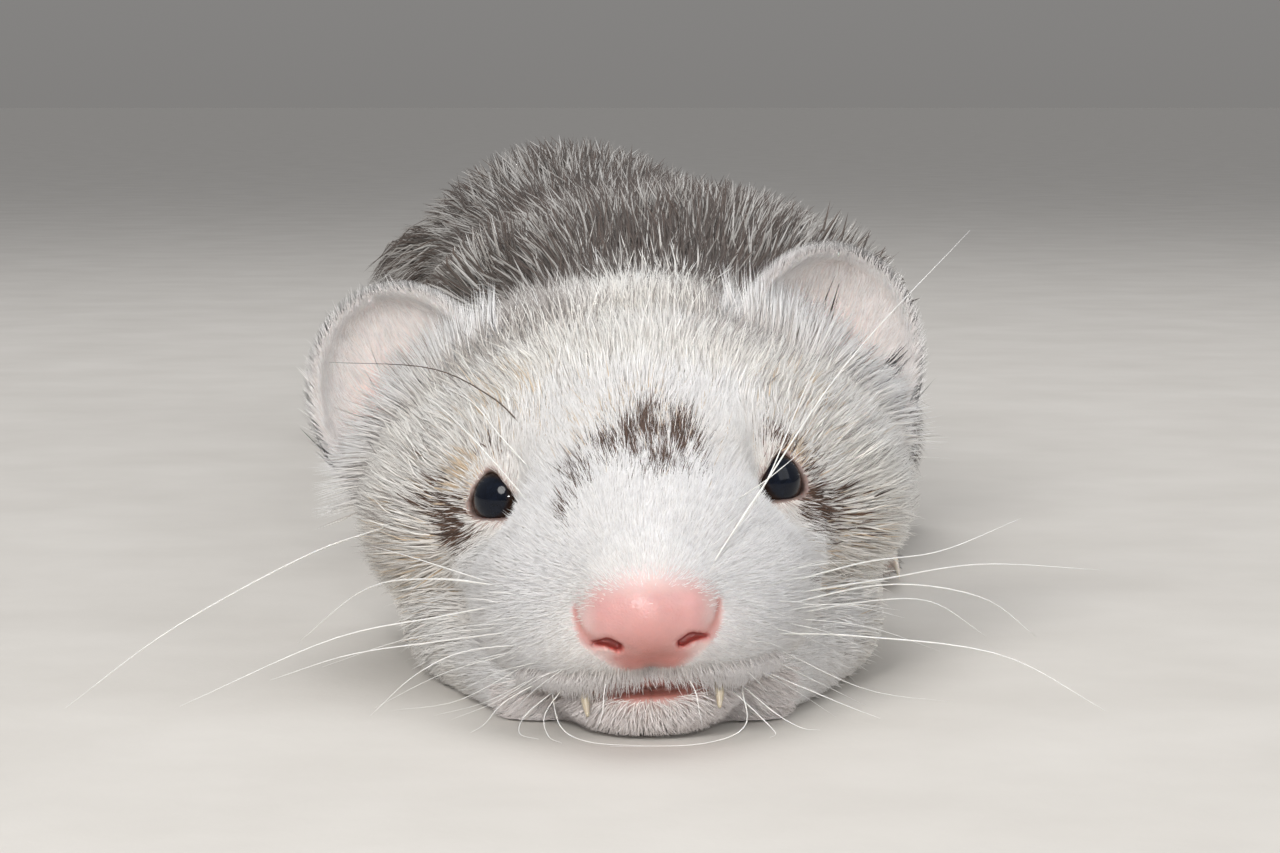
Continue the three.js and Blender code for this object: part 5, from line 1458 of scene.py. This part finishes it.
# ------------------------------------------------------------------ floor, light and camera
def floor_material():
    m = Nodes("floor")
    m.set(Roughness=0.85, Specular_IOR_Level=0.2)
    n = m.noise(35.0, 6.0)
    mixed = m.add("ShaderNodeMix", data_type="RGBA")
    mixed.inputs["A"].default_value = (0.60, 0.57, 0.53, 1)
    mixed.inputs["B"].default_value = (0.66, 0.63, 0.59, 1)
    m.link(m.range(n.outputs["Fac"], 0.3, 0.7, 0, 1), mixed.inputs["Factor"])
    m.link(mixed.outputs["Result"], m.bsdf.inputs["Base Color"])
    m.link(m.bump(m.noise(900.0, 4.0).outputs["Fac"], 0.15, 0.0003), m.bsdf.inputs["Normal"])
    return m.mat


bpy.ops.mesh.primitive_grid_add(size=60, x_subdivisions=2, y_subdivisions=2, location=(0, 0, 0))
floor = bpy.context.object
floor.name = "floor"
floor.data.materials.append(floor_material())
floor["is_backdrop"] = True

world = bpy.data.worlds.new("studio")
bpy.context.scene.world = world
world.use_nodes = True
wt = world.node_tree
background = wt.nodes["Background"]
tc, sep, ramp = wt.nodes.new("ShaderNodeTexCoord"), wt.nodes.new("ShaderNodeSeparateXYZ"), wt.nodes.new("ShaderNodeValToRGB")
wt.links.new(tc.outputs["Generated"], sep.inputs[0])
wt.links.new(sep.outputs["Z"], ramp.inputs["Fac"])
wt.links.new(ramp.outputs["Color"], background.inputs["Color"])
ramp.color_ramp.elements[0].position, ramp.color_ramp.elements[0].color = 0.0, (0.36, 0.35, 0.34, 1)
ramp.color_ramp.elements[1].position, ramp.color_ramp.elements[1].color = 0.55, (0.62, 0.63, 0.65, 1)
background.inputs["Strength"].default_value = 0.62


def lamp(name, at, aim, size, power, colour=(1, 1, 1), shape="SQUARE", spread=180):
    data = bpy.data.lights.new(name, "AREA")
    data.shape, data.size, data.energy, data.color = shape, size, power, colour
    data.spread = np.radians(spread)
    ob = bpy.data.objects.new(name, data)
    ob.location = at
    ob.rotation_euler = (Vector(aim) - Vector(at)).to_track_quat("-Z", "Y").to_euler()
    ob.visible_camera = False
    bpy.context.scene.collection.objects.link(ob)


HEAD_AT = place([0, 0, 20])
lamp("key", (-0.30, -0.95, 0.52), HEAD_AT, 0.42, 5.3, (1, 0.99, 0.97), "DISK")
lamp("fill", (0.75, -0.60, 0.45), HEAD_AT, 0.6, 1.7, (0.97, 0.985, 1))
lamp("top", (0.05, 0.15, 0.95), (0, -0.05, 0.02), 0.7, 4.2)
lamp("flash", (0.03, -0.66, 0.12), HEAD_AT, 0.018, 0.055, (1, 1, 0.98), "DISK", 60)

camera = bpy.data.cameras.new("camera")
camera.sensor_width, camera.lens = 36.0, 36.0 * 3580 / 1280
camera.clip_start, camera.clip_end = 0.01, 100
cam = bpy.data.objects.new("camera", camera)
cam.location = place([0, -360, 60.9])
cam.rotation_euler = (np.radians(90 - 5.2), 0, 0)
bpy.context.scene.collection.objects.link(cam)
bpy.context.scene.camera = cam
bpy.context.scene.view_settings.view_transform = "Standard"

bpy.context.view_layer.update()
tris_of = {o.name: int(sum(len(q.vertices) - 2 for q in o.data.polygons)) if len(o.data.polygons) < 400 else int(len(o.data.loops) - 2 * len(o.data.polygons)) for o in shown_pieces()}
print("triangles", sum(tris_of.values()), {k: v for k, v in tris_of.items() if v > 20000})
